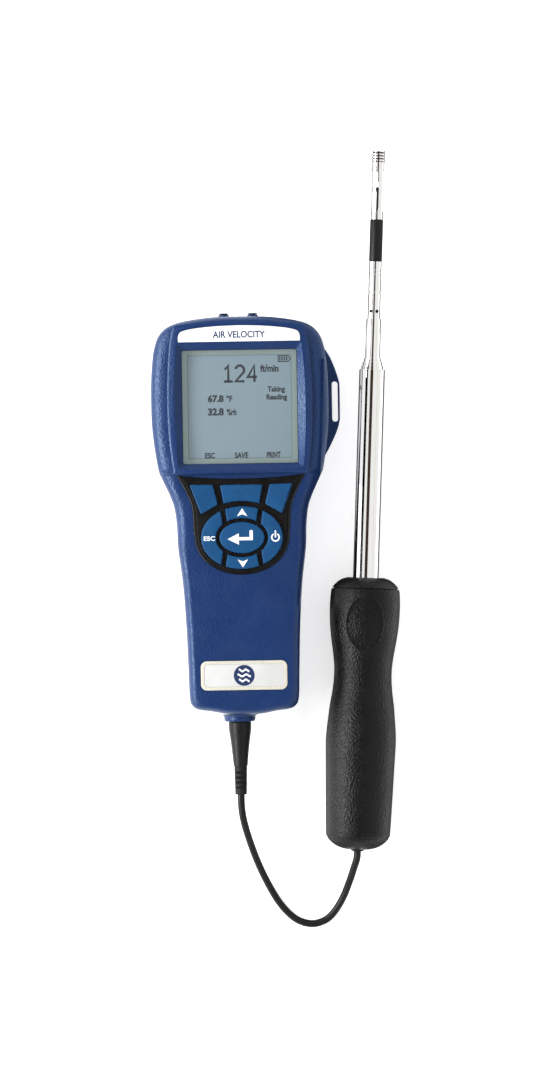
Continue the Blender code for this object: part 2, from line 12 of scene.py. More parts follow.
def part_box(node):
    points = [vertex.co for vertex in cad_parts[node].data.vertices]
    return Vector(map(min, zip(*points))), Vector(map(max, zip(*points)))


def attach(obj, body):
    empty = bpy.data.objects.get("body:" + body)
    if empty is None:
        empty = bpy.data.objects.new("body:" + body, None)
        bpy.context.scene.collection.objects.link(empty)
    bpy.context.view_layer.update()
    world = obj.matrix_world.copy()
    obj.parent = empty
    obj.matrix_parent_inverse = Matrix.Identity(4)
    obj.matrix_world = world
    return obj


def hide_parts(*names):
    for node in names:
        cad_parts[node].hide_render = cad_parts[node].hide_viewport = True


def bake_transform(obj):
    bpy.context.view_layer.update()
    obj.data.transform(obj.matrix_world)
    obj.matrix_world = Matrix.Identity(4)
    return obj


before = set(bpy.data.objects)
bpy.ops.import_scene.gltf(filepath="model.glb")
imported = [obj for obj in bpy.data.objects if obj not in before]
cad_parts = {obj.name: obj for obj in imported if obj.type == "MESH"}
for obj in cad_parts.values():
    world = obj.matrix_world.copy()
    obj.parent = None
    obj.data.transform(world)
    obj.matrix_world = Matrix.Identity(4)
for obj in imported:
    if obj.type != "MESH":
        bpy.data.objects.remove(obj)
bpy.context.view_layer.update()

MM = 0.001

# Heights over the casing's flat back. The panel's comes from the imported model.
PANEL_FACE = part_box("front_casing")[1].z / MM
HEAD_FACE = PANEL_FACE - 1.2
KEYPAD_FACE = PANEL_FACE - 3.0
GRIP_FACE = PANEL_FACE - 5.0
BEZEL_TOP = KEYPAD_FACE + 0.9
KEY_TOP = KEYPAD_FACE + 2.0
KEY_FOOT = 38.3
PARTING = 18.0

# Walls, openings and places of the casing.
HALF_LENGTH = 88.0
WALL = 2.0
FRONT_WALL = 2.4
SOCKET_X = -2.0
SOCKET_RADIUS = 5.3
PORT_X = 6.4
PORT_RADIUS = 2.2
OVAL_Y = -9.5
PLATE_CENTRE = (0.0, -70.2)
DOOR_HALF_WIDTH = 17.3
DOOR_STOP = -21.7
DOOR_DEPTH = 3.9
SCREW_PLACES = [(-31.2, 62.0), (31.2, 62.0), (-22.9, -7.0), (22.9, -7.0)]

# Right half of the casing's outline, from the middle of its lower end to the middle of its top.
HALF_OUTLINE = [
    (0.0, -87.6), (7.5, -87.3), (14.0, -86.1), (20.0, -85.2), (22.8, -83.6), (24.1, -80.0),
    (24.5, -68.0), (25.0, -52.0), (25.6, -40.0), (26.5, -28.0), (28.2, -14.0), (28.6, -4.0),
    (29.6, 4.0), (31.7, 10.0), (35.1, 17.5), (36.4, 21.0), (38.1, 32.0), (39.0, 42.0),
    (39.1, 56.0), (38.6, 66.0), (37.5, 74.0), (35.3, 80.0), (31.0, 84.0), (24.0, 86.2),
    (12.5, 87.7), (0.0, 88.0),
]

# Probe: its axis starts at the middle of the handle's lower end and leans to the right.
PROBE_LEAN = math.radians(2.67)
HANDLE_END = (49.35, -147.0, 15.6)
HANDLE_LENGTH = 119.0
TOP_CAP_START = 114.0
END_CAP_STOP = 6.0
SEAM = 0.02

# Handle radius at each distance from its lower end.
HANDLE_PROFILE = [
    (-1.6, 5.2), (-0.9, 8.0), (0.4, 10.6), (2.4, 12.9), (4.2, 13.9), (6.0, 14.3),
    (20.0, 14.8), (36.0, 15.3), (46.0, 15.6), (52.0, 15.3), (57.0, 14.8), (62.0, 14.3),
    (68.0, 13.4), (73.0, 12.9), (78.0, 12.8), (82.0, 13.1), (87.0, 13.8), (92.0, 14.6),
    (98.0, 15.3), (105.0, 15.6), (111.0, 15.4), (114.0, 14.9), (116.5, 13.0), (118.2, 10.6),
    (119.0, 8.0),
]

# Telescopic sections, widest first: node, body, outer radius, inner radius, lower end, upper end.
TUBES = [
    ("outer_tube", "probe_handle", 5.70, 4.92, 14.0, 211.4),
    ("tube_section_1", "section_1", 4.80, 4.42, 15.0, 213.1),
    ("tube_section_2", "section_2", 4.30, 3.92, 16.0, 214.8),
    ("tube_section_3", "section_3", 3.80, 3.42, 17.0, 216.5),
    ("tube_section_4", "section_4", 3.30, 2.92, 18.0, 234.0),
    ("tip_tube", "probe_tip", 2.80, 2.40, 19.0, 259.5),
]

VENT_Y = 237.2

CORD_DIAMETER = 3.2
CORD_ROUTE = [
    (-2.0, -123.4, 18.0), (-1.9, -128.5, 17.6), (-1.2, -134.0, 16.2), (0.4, -140.5, 13.0),
    (2.8, -148.0, 9.2), (5.6, -155.4, 6.0), (9.2, -163.2, 3.6), (13.7, -171.3, 2.1),
    (18.7, -177.4, 1.7), (23.6, -180.9, 1.7), (29.4, -182.1, 1.7), (35.0, -180.4, 1.8),
    (39.2, -176.4, 2.6), (42.8, -170.4, 4.8), (45.5, -163.6, 8.6), (47.5, -157.4, 12.6),
    (48.9, -152.8, 15.2), (49.2, -149.6, 15.6),
]


# ---- Camera ----

VIEW_DISTANCE = 3.0
VIEW_YAW = math.radians(0.8)
VIEW_ROLL = math.radians(0.92)
VIEW_TARGET = (14.7, -10.8, 42.0)
VIEW_HEIGHT = 475.2


def add_camera():
    forward = Vector((math.sin(VIEW_YAW), 0.0, -math.cos(VIEW_YAW)))
    level = Vector((math.cos(VIEW_YAW), 0.0, math.sin(VIEW_YAW)))
    upright = Vector((0.0, 1.0, 0.0))
    right = level * math.cos(VIEW_ROLL) - upright * math.sin(VIEW_ROLL)
    up = right.cross(forward)
    data = bpy.data.cameras.new("view")
    data.sensor_fit = "VERTICAL"
    data.sensor_height = 24.0
    data.angle = 2 * math.atan(VIEW_HEIGHT / 2 * MM / VIEW_DISTANCE)
    data.clip_start = 0.05
    data.clip_end = 20.0
    camera = bpy.data.objects.new("view", data)
    turn = Matrix((right, up, -forward)).transposed().to_4x4()
    place = Matrix.Translation(Vector(VIEW_TARGET) * MM - forward * VIEW_DISTANCE)
    camera.matrix_world = place @ turn
    bpy.context.scene.collection.objects.link(camera)
    bpy.context.scene.camera = camera


# ---- Mesh building ----

def link(obj, look):
    bpy.context.scene.collection.objects.link(obj)
    if look is not None:
        obj.data.materials.append(look)
    return obj


def add_mesh(name, points, faces, look=None, place=None):
    """A closed mesh from points in millimetres, turned outward, smooth but for its sharp edges."""
    mesh = bpy.data.meshes.new(name)
    mesh.from_pydata([Vector(p) * MM for p in points], [], faces)
    shape = bmesh.new()
    shape.from_mesh(mesh)
    bmesh.ops.recalc_face_normals(shape, faces=shape.faces)
    shape.to_mesh(mesh)
    shape.free()
    mesh.shade_smooth()
    mesh.set_sharp_from_angle(angle=math.radians(35))
    obj = link(bpy.data.objects.new(name, mesh), look)
    if place is not None:
        obj.matrix_world = place
    return obj


def stack(rings, capped=True, joined=False):
    """Faces that skin equal rings of points one after the other.

    The first and the last ring each get a polygon, or stay open, or are joined to each other.
    """
    count = len(rings[0])
    points = [p for ring in rings for p in ring]
    faces = []
    for level in range(len(rings) if joined else len(rings) - 1):
        low = level * count
        high = (low + count) % len(points)
        for i in range(count):
            j = (i + 1) % count
            faces.append((low + i, low + j, high + j, high + i))
    if capped and not joined:
        faces.append(tuple(range(count)))
        faces.append(tuple(range(len(points) - count, len(points))))
    return points, faces


def spline(points, steps, closed=False):
    """A smooth curve through `points`, `steps` to each span."""
    spots = [Vector(p) for p in points]
    count = len(spots)
    curve = []
    for i in range(count if closed else count - 1):
        before = spots[i - 1] if closed or i else spots[0]
        here = spots[i]
        after = spots[(i + 1) % count]
        beyond = spots[(i + 2) % count] if closed or i + 2 < count else spots[-1]
        for k in range(steps):
            t = k / steps
            bend = 2 * before - 5 * here + 4 * after - beyond
            twist = 3 * here - before - 3 * after + beyond
            curve.append(0.5 * (2 * here + (after - before) * t + bend * t**2 + twist * t**3))
    if not closed:
        curve.append(spots[-1])
    return [tuple(p) for p in curve]


def inset(outline, distance):
    """The outline with every edge moved inward by `distance`."""
    count = len(outline)
    area = sum(outline[i - 1][0] * outline[i][1] - outline[i][0] * outline[i - 1][1] for i in range(count))
    turn = 1.0 if area > 0 else -1.0
    moved = []
    for i in range(count):
        here = Vector(outline[i])
        along_in = (here - Vector(outline[i - 1])).normalized()
        along_out = (Vector(outline[(i + 1) % count]) - here).normalized()
        normal_in = Vector((-along_in.y, along_in.x)) * turn
        normal_out = Vector((-along_out.y, along_out.x)) * turn
        middle = (normal_in + normal_out).normalized()
        moved.append(tuple(here + middle * distance / max(0.5, middle.dot(normal_out))))
    return moved


def rounded(outline, radius, steps=5):
    """The outline with each corner turned into an arc-like curve that starts `radius` from it."""
    soft = []
    count = len(outline)
    for i in range(count):
        corner = Vector(outline[i])
        back = Vector(outline[i - 1]) - corner
        ahead = Vector(outline[(i + 1) % count]) - corner
        start = corner + back.normalized() * min(radius, back.length * 0.45)
        stop = corner + ahead.normalized() * min(radius, ahead.length * 0.45)
        for k in range(steps + 1):
            t = k / steps
            soft.append(tuple(start * (1 - t) ** 2 + corner * 2 * t * (1 - t) + stop * t**2))
    return soft


def rounded_box(width, height, radius, centre=(0.0, 0.0), steps=8):
    """A rectangle with round corners, counter-clockwise."""
    outline = []
    for corner in range(4):
        side_x = 1 if corner in (0, 3) else -1
        side_y = 1 if corner in (0, 1) else -1
        x = centre[0] + side_x * (width / 2 - radius)
        y = centre[1] + side_y * (height / 2 - radius)
        for k in range(steps + 1):
            angle = math.radians(90 * corner + 90 * k / steps)
            outline.append((x + radius * math.cos(angle), y + radius * math.sin(angle)))
    return outline


def loft(name, levels, look=None):
    """A solid skinned through (outline, height) pairs with as many points each."""
    points, faces = stack([[(x, y, z) for x, y in outline] for outline, z in levels])
    return add_mesh(name, points, faces, look)


def pad(name, outline, low, high, look, edge=0.4, rounds=4):
    """An outline raised from `low` to `high` with its upper edge rounded by `edge`."""
    levels = [(outline, low)]
    for k in range(rounds + 1):
        angle = math.pi / 2 * k / rounds
        drawn = inset(outline, edge * (1 - math.cos(angle))) if k else outline
        levels.append((drawn, high - edge * (1 - math.sin(angle))))
    return loft(name, levels, look)


def prism(name, outline, low, high, look=None):
    return loft(name, [(outline, low), (outline, high)], look)


def turned(name, profile, look, place, sides=96, loop=False):
    """Turns (distance along, radius) pairs about the local Y axis."""
    angles = [2 * math.pi * k / sides for k in range(sides)]
    rings = [[(r * math.cos(a), along, r * math.sin(a)) for a in angles] for along, r in profile]
    points, faces = stack(rings, not loop, loop)
    return add_mesh(name, points, faces, look, place)


def carve(target, cutters=(), additions=()):
    """Applies Booleans to the target and removes the shapes they used."""
    for other, operation in [(a, "UNION") for a in additions] + [(c, "DIFFERENCE") for c in cutters]:
        modifier = target.modifiers.new(other.name, "BOOLEAN")
        modifier.operation = operation
        modifier.solver = "EXACT"
        modifier.object = other
    graph = bpy.context.evaluated_depsgraph_get()
    made = bpy.data.meshes.new_from_object(target.evaluated_get(graph))
    target.modifiers.clear()
    target.data = made
    for other in list(additions) + list(cutters):
        bpy.data.objects.remove(other)
    made.shade_smooth()
    made.set_sharp_from_angle(angle=math.radians(30))
    return target


def soften(obj, width, segments=2, angle=40.0):
    """A small rounding on the sharp edges of a finished shape."""
    modifier = obj.modifiers.new("soften", "BEVEL")
    modifier.width = width * MM
    modifier.segments = segments
    modifier.limit_method = "ANGLE"
    modifier.angle_limit = math.radians(angle)
    modifier.harden_normals = True
    modifier.use_clamp_overlap = True
    return obj


def settle(obj, body, nodes=()):
    """The piece rides on a body and stands for CAD nodes, which it hides."""
    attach(obj, body)
    if nodes:
        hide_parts(*nodes)
    return obj


def turned_piece(name, profile, look, place, body, nodes=(), sides=96, loop=False):
    return settle(turned(name, profile, look, place, sides, loop), body, nodes)


def along_y(x, z):
    return Matrix.Translation(Vector((x, 0.0, z)) * MM)


def disc_outline(across, centre, steps=8):
    return rounded_box(across, across, across / 2 - 0.01, centre, steps)


def probe_place():
    """The probe's own frame: local Y runs from the handle's lower end to the tip."""
    return Matrix.Translation(Vector(HANDLE_END) * MM) @ Matrix.Rotation(-PROBE_LEAN, 4, "Z")


def between(pairs, at, smooth=False):
    """Reading of a list of (place, value) pairs, straight or eased between them."""
    if at <= pairs[0][0]:
        return pairs[0][1]
    for (a, low), (b, high) in zip(pairs, pairs[1:]):
        if at <= b:
            t = (at - a) / (b - a)
            return low + (high - low) * (t * t * (3 - 2 * t) if smooth else t)
    return pairs[-1][1]


# ---- Materials ----

class Look:
    """A node material under construction, in object coordinates of one metre."""

    def __init__(self, name, color, roughness, metallic=0.0, specular=0.5):
        self.material = bpy.data.materials.new(name)
        self.material.use_nodes = True
        self.tree = self.material.node_tree
        self.shader = self.tree.nodes["Principled BSDF"]
        self.set("Base Color", (*color, 1.0))
        self.set("Roughness", roughness)
        self.set("Metallic", metallic)
        self.set("Specular IOR Level", specular)
        self.color = color
        self.coords = self.tree.nodes.new("ShaderNodeTexCoord")
        self.height = None

    def set(self, socket, value):
        self.shader.inputs[socket].default_value = value
        return self

    def glow(self, color):
        """Light given off by the surface itself."""
        self.set("Emission Color", (*color, 1.0))
        return self.set("Emission Strength", 1.0)

    def noise(self, size, detail=3.0, stretch=(1.0, 1.0, 1.0)):
        """A noise whose features are about `size` millimetres across."""
        mapping = self.tree.nodes.new("ShaderNodeMapping")
        mapping.inputs["Scale"].default_value = stretch
        self.tree.links.new(self.coords.outputs["Object"], mapping.inputs["Vector"])
        noise = self.tree.nodes.new("ShaderNodeTexNoise")
        noise.inputs["Scale"].default_value = 1.0 / (size * MM)
        noise.inputs["Detail"].default_value = detail
        self.tree.links.new(mapping.outputs["Vector"], noise.inputs["Vector"])
        return noise.outputs["Fac"]

    def spread(self, value, low, high, start=0.35, stop=0.65):
        """Maps a noise's middle range onto low..high."""
        node = self.tree.nodes.new("ShaderNodeMapRange")
        node.inputs["From Min"].default_value = start
        node.inputs["From Max"].default_value = stop
        node.inputs["To Min"].default_value = low
        node.inputs["To Max"].default_value = high
        self.tree.links.new(value, node.inputs["Value"])
        return node.outputs["Result"]

    def mottle(self, size, other, detail=3.0):
        """Lets the colour drift towards `other` in patches."""
        mix = self.tree.nodes.new("ShaderNodeMix")
        mix.data_type = "RGBA"
        mix.inputs[6].default_value = (*self.color, 1.0)
        mix.inputs[7].default_value = (*other, 1.0)
        self.tree.links.new(self.spread(self.noise(size, detail), 0.0, 1.0), mix.inputs[0])
        self.tree.links.new(mix.outputs[2], self.shader.inputs["Base Color"])
        return self

    def wear(self, size, low, high, stretch=(1.0, 1.0, 1.0)):
        """Lets the roughness vary in patches."""
        value = self.spread(self.noise(size, 4.0, stretch), low, high)
        self.tree.links.new(value, self.shader.inputs["Roughness"])
        return self

    def raise_by(self, value, distance, strength):
        """Adds a height in millimetres to the surface."""
        node = self.tree.nodes.new("ShaderNodeBump")
        node.inputs["Strength"].default_value = strength
        node.inputs["Distance"].default_value = distance * MM
        self.tree.links.new(value, node.inputs["Height"])
        if self.height is not None:
            self.tree.links.new(self.height, node.inputs["Normal"])
        self.height = node.outputs["Normal"]
        self.tree.links.new(self.height, self.shader.inputs["Normal"])
        return self

    def grain(self, size, detail, distance, strength, stretch=(1.0, 1.0, 1.0)):
        """An uneven surface with features of about `size` millimetres."""
        return self.raise_by(self.noise(size, detail, stretch), distance, strength)

    def pits(self, size, distance, strength=1.0):
        """The leathery texture of grained mould steel."""
        cells = self.tree.nodes.new("ShaderNodeTexVoronoi")
        cells.feature = "SMOOTH_F1"
        cells.inputs["Scale"].default_value = 1.0 / (size * MM)
        self.tree.links.new(self.coords.outputs["Object"], cells.inputs["Vector"])
        return self.raise_by(cells.outputs["Distance"], distance, strength)


def casing_look():
    color = (0.0026, 0.0185, 0.093)
    look = Look("blue_casing", color, 0.38, specular=0.6)
    look.mottle(26.0, [c * 1.16 for c in color])
    look.wear(9.0, 0.33, 0.42)
    look.pits(0.8, 0.16)
    look.grain(0.45, 2.0, 0.07, 0.8)
    return look.set("Specular Tint", (0.6, 0.8, 1.0, 1.0))


def grip_look():
    look = Look("grained_grip", (0.0015, 0.0015, 0.0015), 0.34, specular=0.25)
    look.mottle(14.0, (0.003, 0.003, 0.003))
    look.wear(7.0, 0.3, 0.42)
    look.pits(0.8, 0.3)
    return look.grain(0.5, 2.0, 0.16, 1.0)


def black_look(name, roughness, color=(0.006, 0.006, 0.006)):
    look = Look(name, color, roughness, specular=0.25)
    look.mottle(8.0, [c * 1.5 for c in color])
    look.wear(4.0, roughness - 0.05, roughness + 0.07)
    return look.grain(0.25, 2.0, 0.012, 0.5)


def rubber_look():
    look = Look("black_rubber", (0.007, 0.007, 0.0065), 0.62, specular=0.25)
    look.mottle(5.0, (0.012, 0.012, 0.011))
    return look.grain(0.35, 3.0, 0.03, 0.6)


def cable_look():
    look = Look("cable_sheath", (0.007, 0.0068, 0.006), 0.38, specular=0.25)
    look.mottle(6.0, (0.011, 0.0105, 0.009))
    look.wear(5.0, 0.32, 0.46)
    return look.grain(1.2, 2.0, 0.02, 0.4)


def key_look():
    look = Look("key_silicone", (0.001, 0.05, 0.155), 0.55, specular=0.25)
    look.mottle(5.0, (0.0015, 0.06, 0.17))
    look.wear(3.0, 0.48, 0.6)
    return look.grain(0.3, 2.0, 0.015, 0.5)


def chrome_look():
    look = Look("polished_chrome", (0.985, 0.98, 0.965), 0.05, 1.0)
    look.mottle(18.0, (0.96, 0.95, 0.925))
    look.wear(6.0, 0.045, 0.11, (1.0, 0.12, 1.0))
    return look.grain(0.5, 3.0, 0.0012, 0.5, (1.0, 0.06, 1.0))


def steel_look():
    look = Look("bright_steel", (0.62, 0.61, 0.58), 0.28, 1.0)
    look.wear(2.0, 0.2, 0.36)
    return look.grain(0.3, 2.0, 0.004, 0.5)


def lcd_look_with_painted_glow():
    look = Look("lcd_glass", (0.12, 0.168, 0.195), 0.4)
    look.mottle(30.0, (0.112, 0.158, 0.185))
    # The glow is painted light: it lifts the shadow that the window's walls cast on the glass.
    look.glow((0.09, 0.12, 0.135))
    return look.grain(0.35, 0.0, 0.004, 0.3)


def lcd_border_look_with_painted_glow():
    look = Look("lcd_border", (0.11, 0.14, 0.13), 0.35)
    look.mottle(3.0, (0.1, 0.13, 0.12))
    # The glow is painted light: it lifts the walls' shadow on the border, as on the glass.
    return look.glow((0.13, 0.17, 0.165))


def window_look():
    look = Look("clear_window", (0.3, 0.33, 0.35), 0.06)
    look.wear(12.0, 0.04, 0.09)
    return look.set("Alpha", 0.05)


def ink_look(name, color, roughness=0.6):
    look = Look(name, color, roughness)
    look.mottle(1.5, [c * 0.9 for c in color])
    return look.grain(0.2, 2.0, 0.004, 0.4)


def plate_look():
    look = Look("silver_plate", (0.62, 0.62, 0.615), 0.34, 0.15)
    look.mottle(12.0, (0.66, 0.66, 0.65))
    look.wear(4.0, 0.28, 0.4)
    return look.grain(0.3, 2.0, 0.006, 0.4, (1.0, 0.1, 1.0))


def board_look():
    look = Look("circuit_board", (0.02, 0.12, 0.05), 0.45)
    look.mottle(2.0, (0.03, 0.17, 0.07))
    return look.pits(1.6, 0.05, 0.4)


def battery_look():
    look = Look("battery_wrap", (0.09, 0.09, 0.1), 0.35)
    look.mottle(10.0, (0.12, 0.12, 0.13))
    return look.wear(5.0, 0.28, 0.42)


def membrane_look():
    look = Look("membrane_silicone", (0.35, 0.36, 0.38), 0.6)
    look.mottle(4.0, (0.4, 0.41, 0.43))
    return look.grain(0.4, 2.0, 0.02, 0.4)


# ---- Cord ----

def tube_along(name, route, radius, look, sides=20):
    """A round tube along a route in millimetres, with flat ends."""
    spots = [Vector(p) for p in route]
    side = Vector((1.0, 0.0, 0.0))
    rings = []
    for i, spot in enumerate(spots):
        ahead = (spots[min(i + 1, len(spots) - 1)] - spots[max(i - 1, 0)]).normalized()
        side = (side - ahead * side.dot(ahead)).normalized()
        other = ahead.cross(side)
        ring = []
        for k in range(sides):
            angle = 2 * math.pi * k / sides
            ring.append(tuple(spot + (side * math.cos(angle) + other * math.sin(angle)) * radius))
        rings.append(ring)
    points, faces = stack(rings)
    return add_mesh(name, points, faces, look)


def add_cord(look):
    route = spline(CORD_ROUTE, 8)
    cord = tube_along("cord", route, CORD_DIAMETER / 2, look)
    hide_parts("probe_cable")
    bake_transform(cord)


# ---- Meter casing ----

OUTLINE_STEPS = 5
EDGE_STEPS = 9


def smooth_half_outline():
    """The right half of the casing's outline as a smooth curve."""
    first = (-HALF_OUTLINE[1][0], HALF_OUTLINE[1][1])
    last = (-HALF_OUTLINE[-2][0], HALF_OUTLINE[-2][1])
    curve = spline([first] + HALF_OUTLINE + [last], OUTLINE_STEPS)
    return curve[OUTLINE_STEPS:-OUTLINE_STEPS]


SMOOTH_HALF = smooth_half_outline()
STRAIGHT_SIDE = [(y, x) for x, y in SMOOTH_HALF if -79.0 <= y <= 80.0]


def face_height(y):
    levels = [(-52.0, GRIP_FACE), (-28.0, KEYPAD_FACE), (18.3, KEYPAD_FACE), (21.0, HEAD_FACE)]
    return between(levels, y, smooth=True)


def side_rounding(y):
    """How far the casing's front edge rounding reaches in from its side."""
    return between([(-28.0, 3.4), (10.0, 5.0), (21.0, 7.5)], y, smooth=True)


def casing_ring(inset_x, inset_y, height):
    """The casing's outline drawn in on all sides. `inset_x` and `height` are functions of y."""
    right = []
    for x, y in SMOOTH_HALF:
        moved_x = x * (1 - inset_x(y) / between(STRAIGHT_SIDE, y))
        moved_y = y * (1 - inset_y / HALF_LENGTH)
        right.append((moved_x, moved_y, height(y)))
    left = [(-x, y, z) for x, y, z in right[-2:0:-1]]
    return right + left


def level_ring(distance, height):
    return casing_ring(lambda y: distance, distance, lambda y: height)


def ladder(start, count):
    """Faces that close a casing ring with rungs from its right side to its left."""
    faces = []
    for i in range(count // 2):
        corners = []
        for k in (i, i + 1, (count - i - 1) % count, (count - i) % count):
            if k not in corners:
                corners.append(k)
        faces.append(tuple(start + k for k in corners))
    return faces


def casing_shell(name, rings, look):
    points, faces = stack(rings, capped=False)
    count = len(rings[0])
    faces += ladder(0, count)
    faces += ladder(len(points) - count, count)
    return add_mesh(name, points, faces, look)


def panel_outline():
    """Outline of the raised panel round the screen, with bowed sides."""
    right = [(29.6, 19.0), (31.4, 34.0), (32.0, 52.0), (31.2, 70.0), (29.6, 81.4)]
    top = [(26.8, 84.3), (14.0, 85.4), (0.0, 85.6)]
    half = spline(right + top, 5)
    return half + [(-x, y) for x, y in reversed(half[:-1])]


def label_outline(grow=0.0):
    """The name label above the screen: straight below, arched above."""
    corner = spline([(26.8, 76.8), (26.8, 79.0), (26.2, 80.6), (24.8, 81.6), (19.7, 82.7), (10.0, 83.6),
                     (0.0, 83.9)], 5)
    half = [(x + grow, y + (grow if y > 78.0 else -grow)) for x, y in corner]
    return half + [(-x, y) for x, y in reversed(half[:-1])]


def bezel_outline():
    """Outline of the keypad's frame. Its two upper corners stand clear of the next points, for insets."""
    right = [(0.0, -25.6), (8.8, -24.1), (16.0, -19.7), (19.8, -13.8), (21.0, -6.8), (22.0, 5.5),
             (28.0, 18.0)]
    mirrored = [(-x, y) for x, y in right[:0:-1]]
    below = spline(mirrored + right, 5)
    above = spline([(28.0, 18.0), (14.0, 16.6), (0.0, 16.3), (-14.0, 16.6), (-28.0, 18.0)], 5)
    return below[:1] + below[2:-2] + below[-1:] + above[2:-2]


def end_cutters(tag):
    """Openings in the casing's ends for the probe socket and the two top ports."""
    bore = [(-92.0, SOCKET_RADIUS), (-80.0, SOCKET_RADIUS)]
    cutters = [turned(f"{tag}_socket", bore, None, along_y(SOCKET_X, PARTING))]
    bore = [(80.0, PORT_RADIUS), (92.0, PORT_RADIUS)]
    for x in (-PORT_X, PORT_X):
        cutters.append(turned(f"{tag}_port_{x}", bore, None, along_y(x, PARTING), 48))
    return cutters


def bowed_box(half_width, low, high, bow, sag, radius):
    """A box with round corners whose sides bow outward by `bow` and whose lower side sags by `sag`."""
    middle = (low + high) / 2
    half_height = (high - low) / 2
    corners = rounded_box(2 * half_width, 2 * half_height, radius, (0.0, middle))
    outline = []
    for here, after in zip(corners, corners[1:] + corners[:1]):
        long_side = math.dist(here, after) > 4 * radius
        steps = 16 if long_side else 1
        for k in range(steps):
            x = here[0] + (after[0] - here[0]) * k / steps
            y = here[1] + (after[1] - here[1]) * k / steps
            across = x / half_width
            up = (y - middle) / half_height
            lower = max(0.0, -up)
            outline.append((x + across * bow * (1 - up * up), y - lower * sag * (1 - across * across)))
    return outline


def window_cutter():
    low = bowed_box(25.5, 23.0, 73.4, 0.0, 0.0, 1.0)
    high = bowed_box(27.8, 20.9, 76.6, 1.5, 1.4, 1.6)
    seat = HEAD_FACE - FRONT_WALL + 1.2
    return loft("window", [(low, HEAD_FACE - 5.0), (low, seat), (high, PANEL_FACE + 0.3)])


def front_casing(look):
    rings = []
    for k in range(EDGE_STEPS + 1):
        lean = math.pi / 2 * (1 - k / EDGE_STEPS)
        inward = 1 - math.cos(lean)
        drop = 5.0 * (1 - math.sin(lean))
        rings.append(
            casing_ring(
                lambda y: side_rounding(y) * inward, 2.8 * inward, lambda y: face_height(y) - drop
            )
        )
    rings.append(level_ring(0.0, PARTING + 0.4))
    rings.append(level_ring(0.25, PARTING + 0.15))
    rings.append(level_ring(WALL, PARTING + 0.15))
    rings.append(casing_ring(lambda y: WALL, WALL, lambda y: face_height(y) - 6.5))
    rings.append(
        casing_ring(
            lambda y: 0.75 * side_rounding(y) + 1.2, 4.2, lambda y: face_height(y) - FRONT_WALL
        )
    )
    shell = casing_shell("front_casing_shell", rings, look)
    levels = [(0.0, HEAD_FACE - 1.8), (0.0, PANEL_FACE - 0.4), (0.6, PANEL_FACE - 0.07), (0.75, PANEL_FACE)]
    panel = loft("panel", [(inset(panel_outline(), drawn), z) for drawn, z in levels])
    plate_seat = rounded_box(38.7, 13.5, 3.0, PLATE_CENTRE)
    cutters = [
        window_cutter(),
        prism("label_seat", label_outline(0.2), PANEL_FACE - 0.6, PANEL_FACE + 1),
        prism("plate_seat", plate_seat, GRIP_FACE - 0.9, GRIP_FACE + 2),
        prism("bezel_seat", inset(bezel_outline(), -0.3), KEYPAD_FACE - 1.2, KEYPAD_FACE + 1.4),
        prism("key_opening", inset(bezel_outline(), 1.6), KEYPAD_FACE - 4, KEYPAD_FACE),
    ]
    carve(shell, cutters + end_cutters("front"), [panel])
    soften(shell, 0.3, 3)
    shell.visible_glossy = False
    return settle(shell, "meter", ["front_casing"])


def strap_loop():
    """The strap loop on the right side. Its inner edge runs inside the casing's side wall."""
    outer = spline([(36.9, 25.0), (39.8, 30.0), (42.9, 36.5), (44.4, 41.5), (44.6, 45.0),
                    (44.6, 56.0), (44.2, 60.0), (41.8, 67.2), (39.4, 72.0), (36.8, 75.5)], 6)
    inner = [(36.0, 74.0), (36.8, 66.0), (37.3, 56.0), (37.2, 42.0), (36.2, 31.0), (35.4, 25.0)]
    rings = []
    for drawn, z in ((0.45, 9.0), (0.12, 9.25), (0.0, 9.7), (0.0, 14.8), (0.12, 15.25), (0.45, 15.5)):
        rings.append([(x - drawn, y, z) for x, y in outer] + [(x, y, z) for x, y in inner])
    points, faces = stack(rings)
    return add_mesh("strap_loop", points, faces)


def rear_casing(look):
    rings = []
    for k in range(EDGE_STEPS + 1):
        lean = math.pi / 2 * (1 - k / EDGE_STEPS)
        rings.append(level_ring(0.2 + 3.8 * (1 - math.cos(lean)), 4.5 * (1 - math.sin(lean))))
    rings.append(level_ring(0.0, PARTING - 0.4))
    rings.append(level_ring(0.25, PARTING - 0.15))
    rings.append(level_ring(WALL, PARTING - 0.15))
    rings.append(level_ring(WALL + 0.2, 4.6))
    rings.append(level_ring(4.6, 2.2))
    shell = casing_shell("rear_casing_shell", rings, look)
    additions = [strap_loop()]
    slot = rounded_box(2.7, 17.9, 1.3, (42.5, 50.3))
    cutters = [prism("strap_slot", slot, 5.0, 20.0)]
    for i, (x, y) in enumerate(SCREW_PLACES):
        additions.append(prism(f"post_{i}", disc_outline(8.0, (x, y)), 1.0, 7.8))
        cutters.append(prism(f"head_{i}", disc_outline(5.8, (x, y)), -1.0, 3.2))
        cutters.append(prism(f"shank_{i}", disc_outline(3.0, (x, y)), 3.0, 9.0))
    half = DOOR_HALF_WIDTH
    way = [(-half, -95.0), (half, -95.0), (half, DOOR_STOP), (-half, DOOR_STOP)]
    cutters.append(prism("door_way", way, -1.0, DOOR_DEPTH))
    carve(shell, cutters + end_cutters("rear"), additions)
    soften(shell, 0.3, 3)
    shell.visible_glossy = False
    return settle(shell, "meter", ["rear_casing"])


# ---- Meter front ----

def ring_plate(name, outer, inner, low, high, look):
    """A flat frame between two outlines with as many points each."""
    levels = [(outer, low), (outer, high), (inner, high), (inner, low)]
    points, faces = stack([[(x, y, z) for x, y in line] for line, z in levels], joined=True)
    return add_mesh(name, points, faces, look)


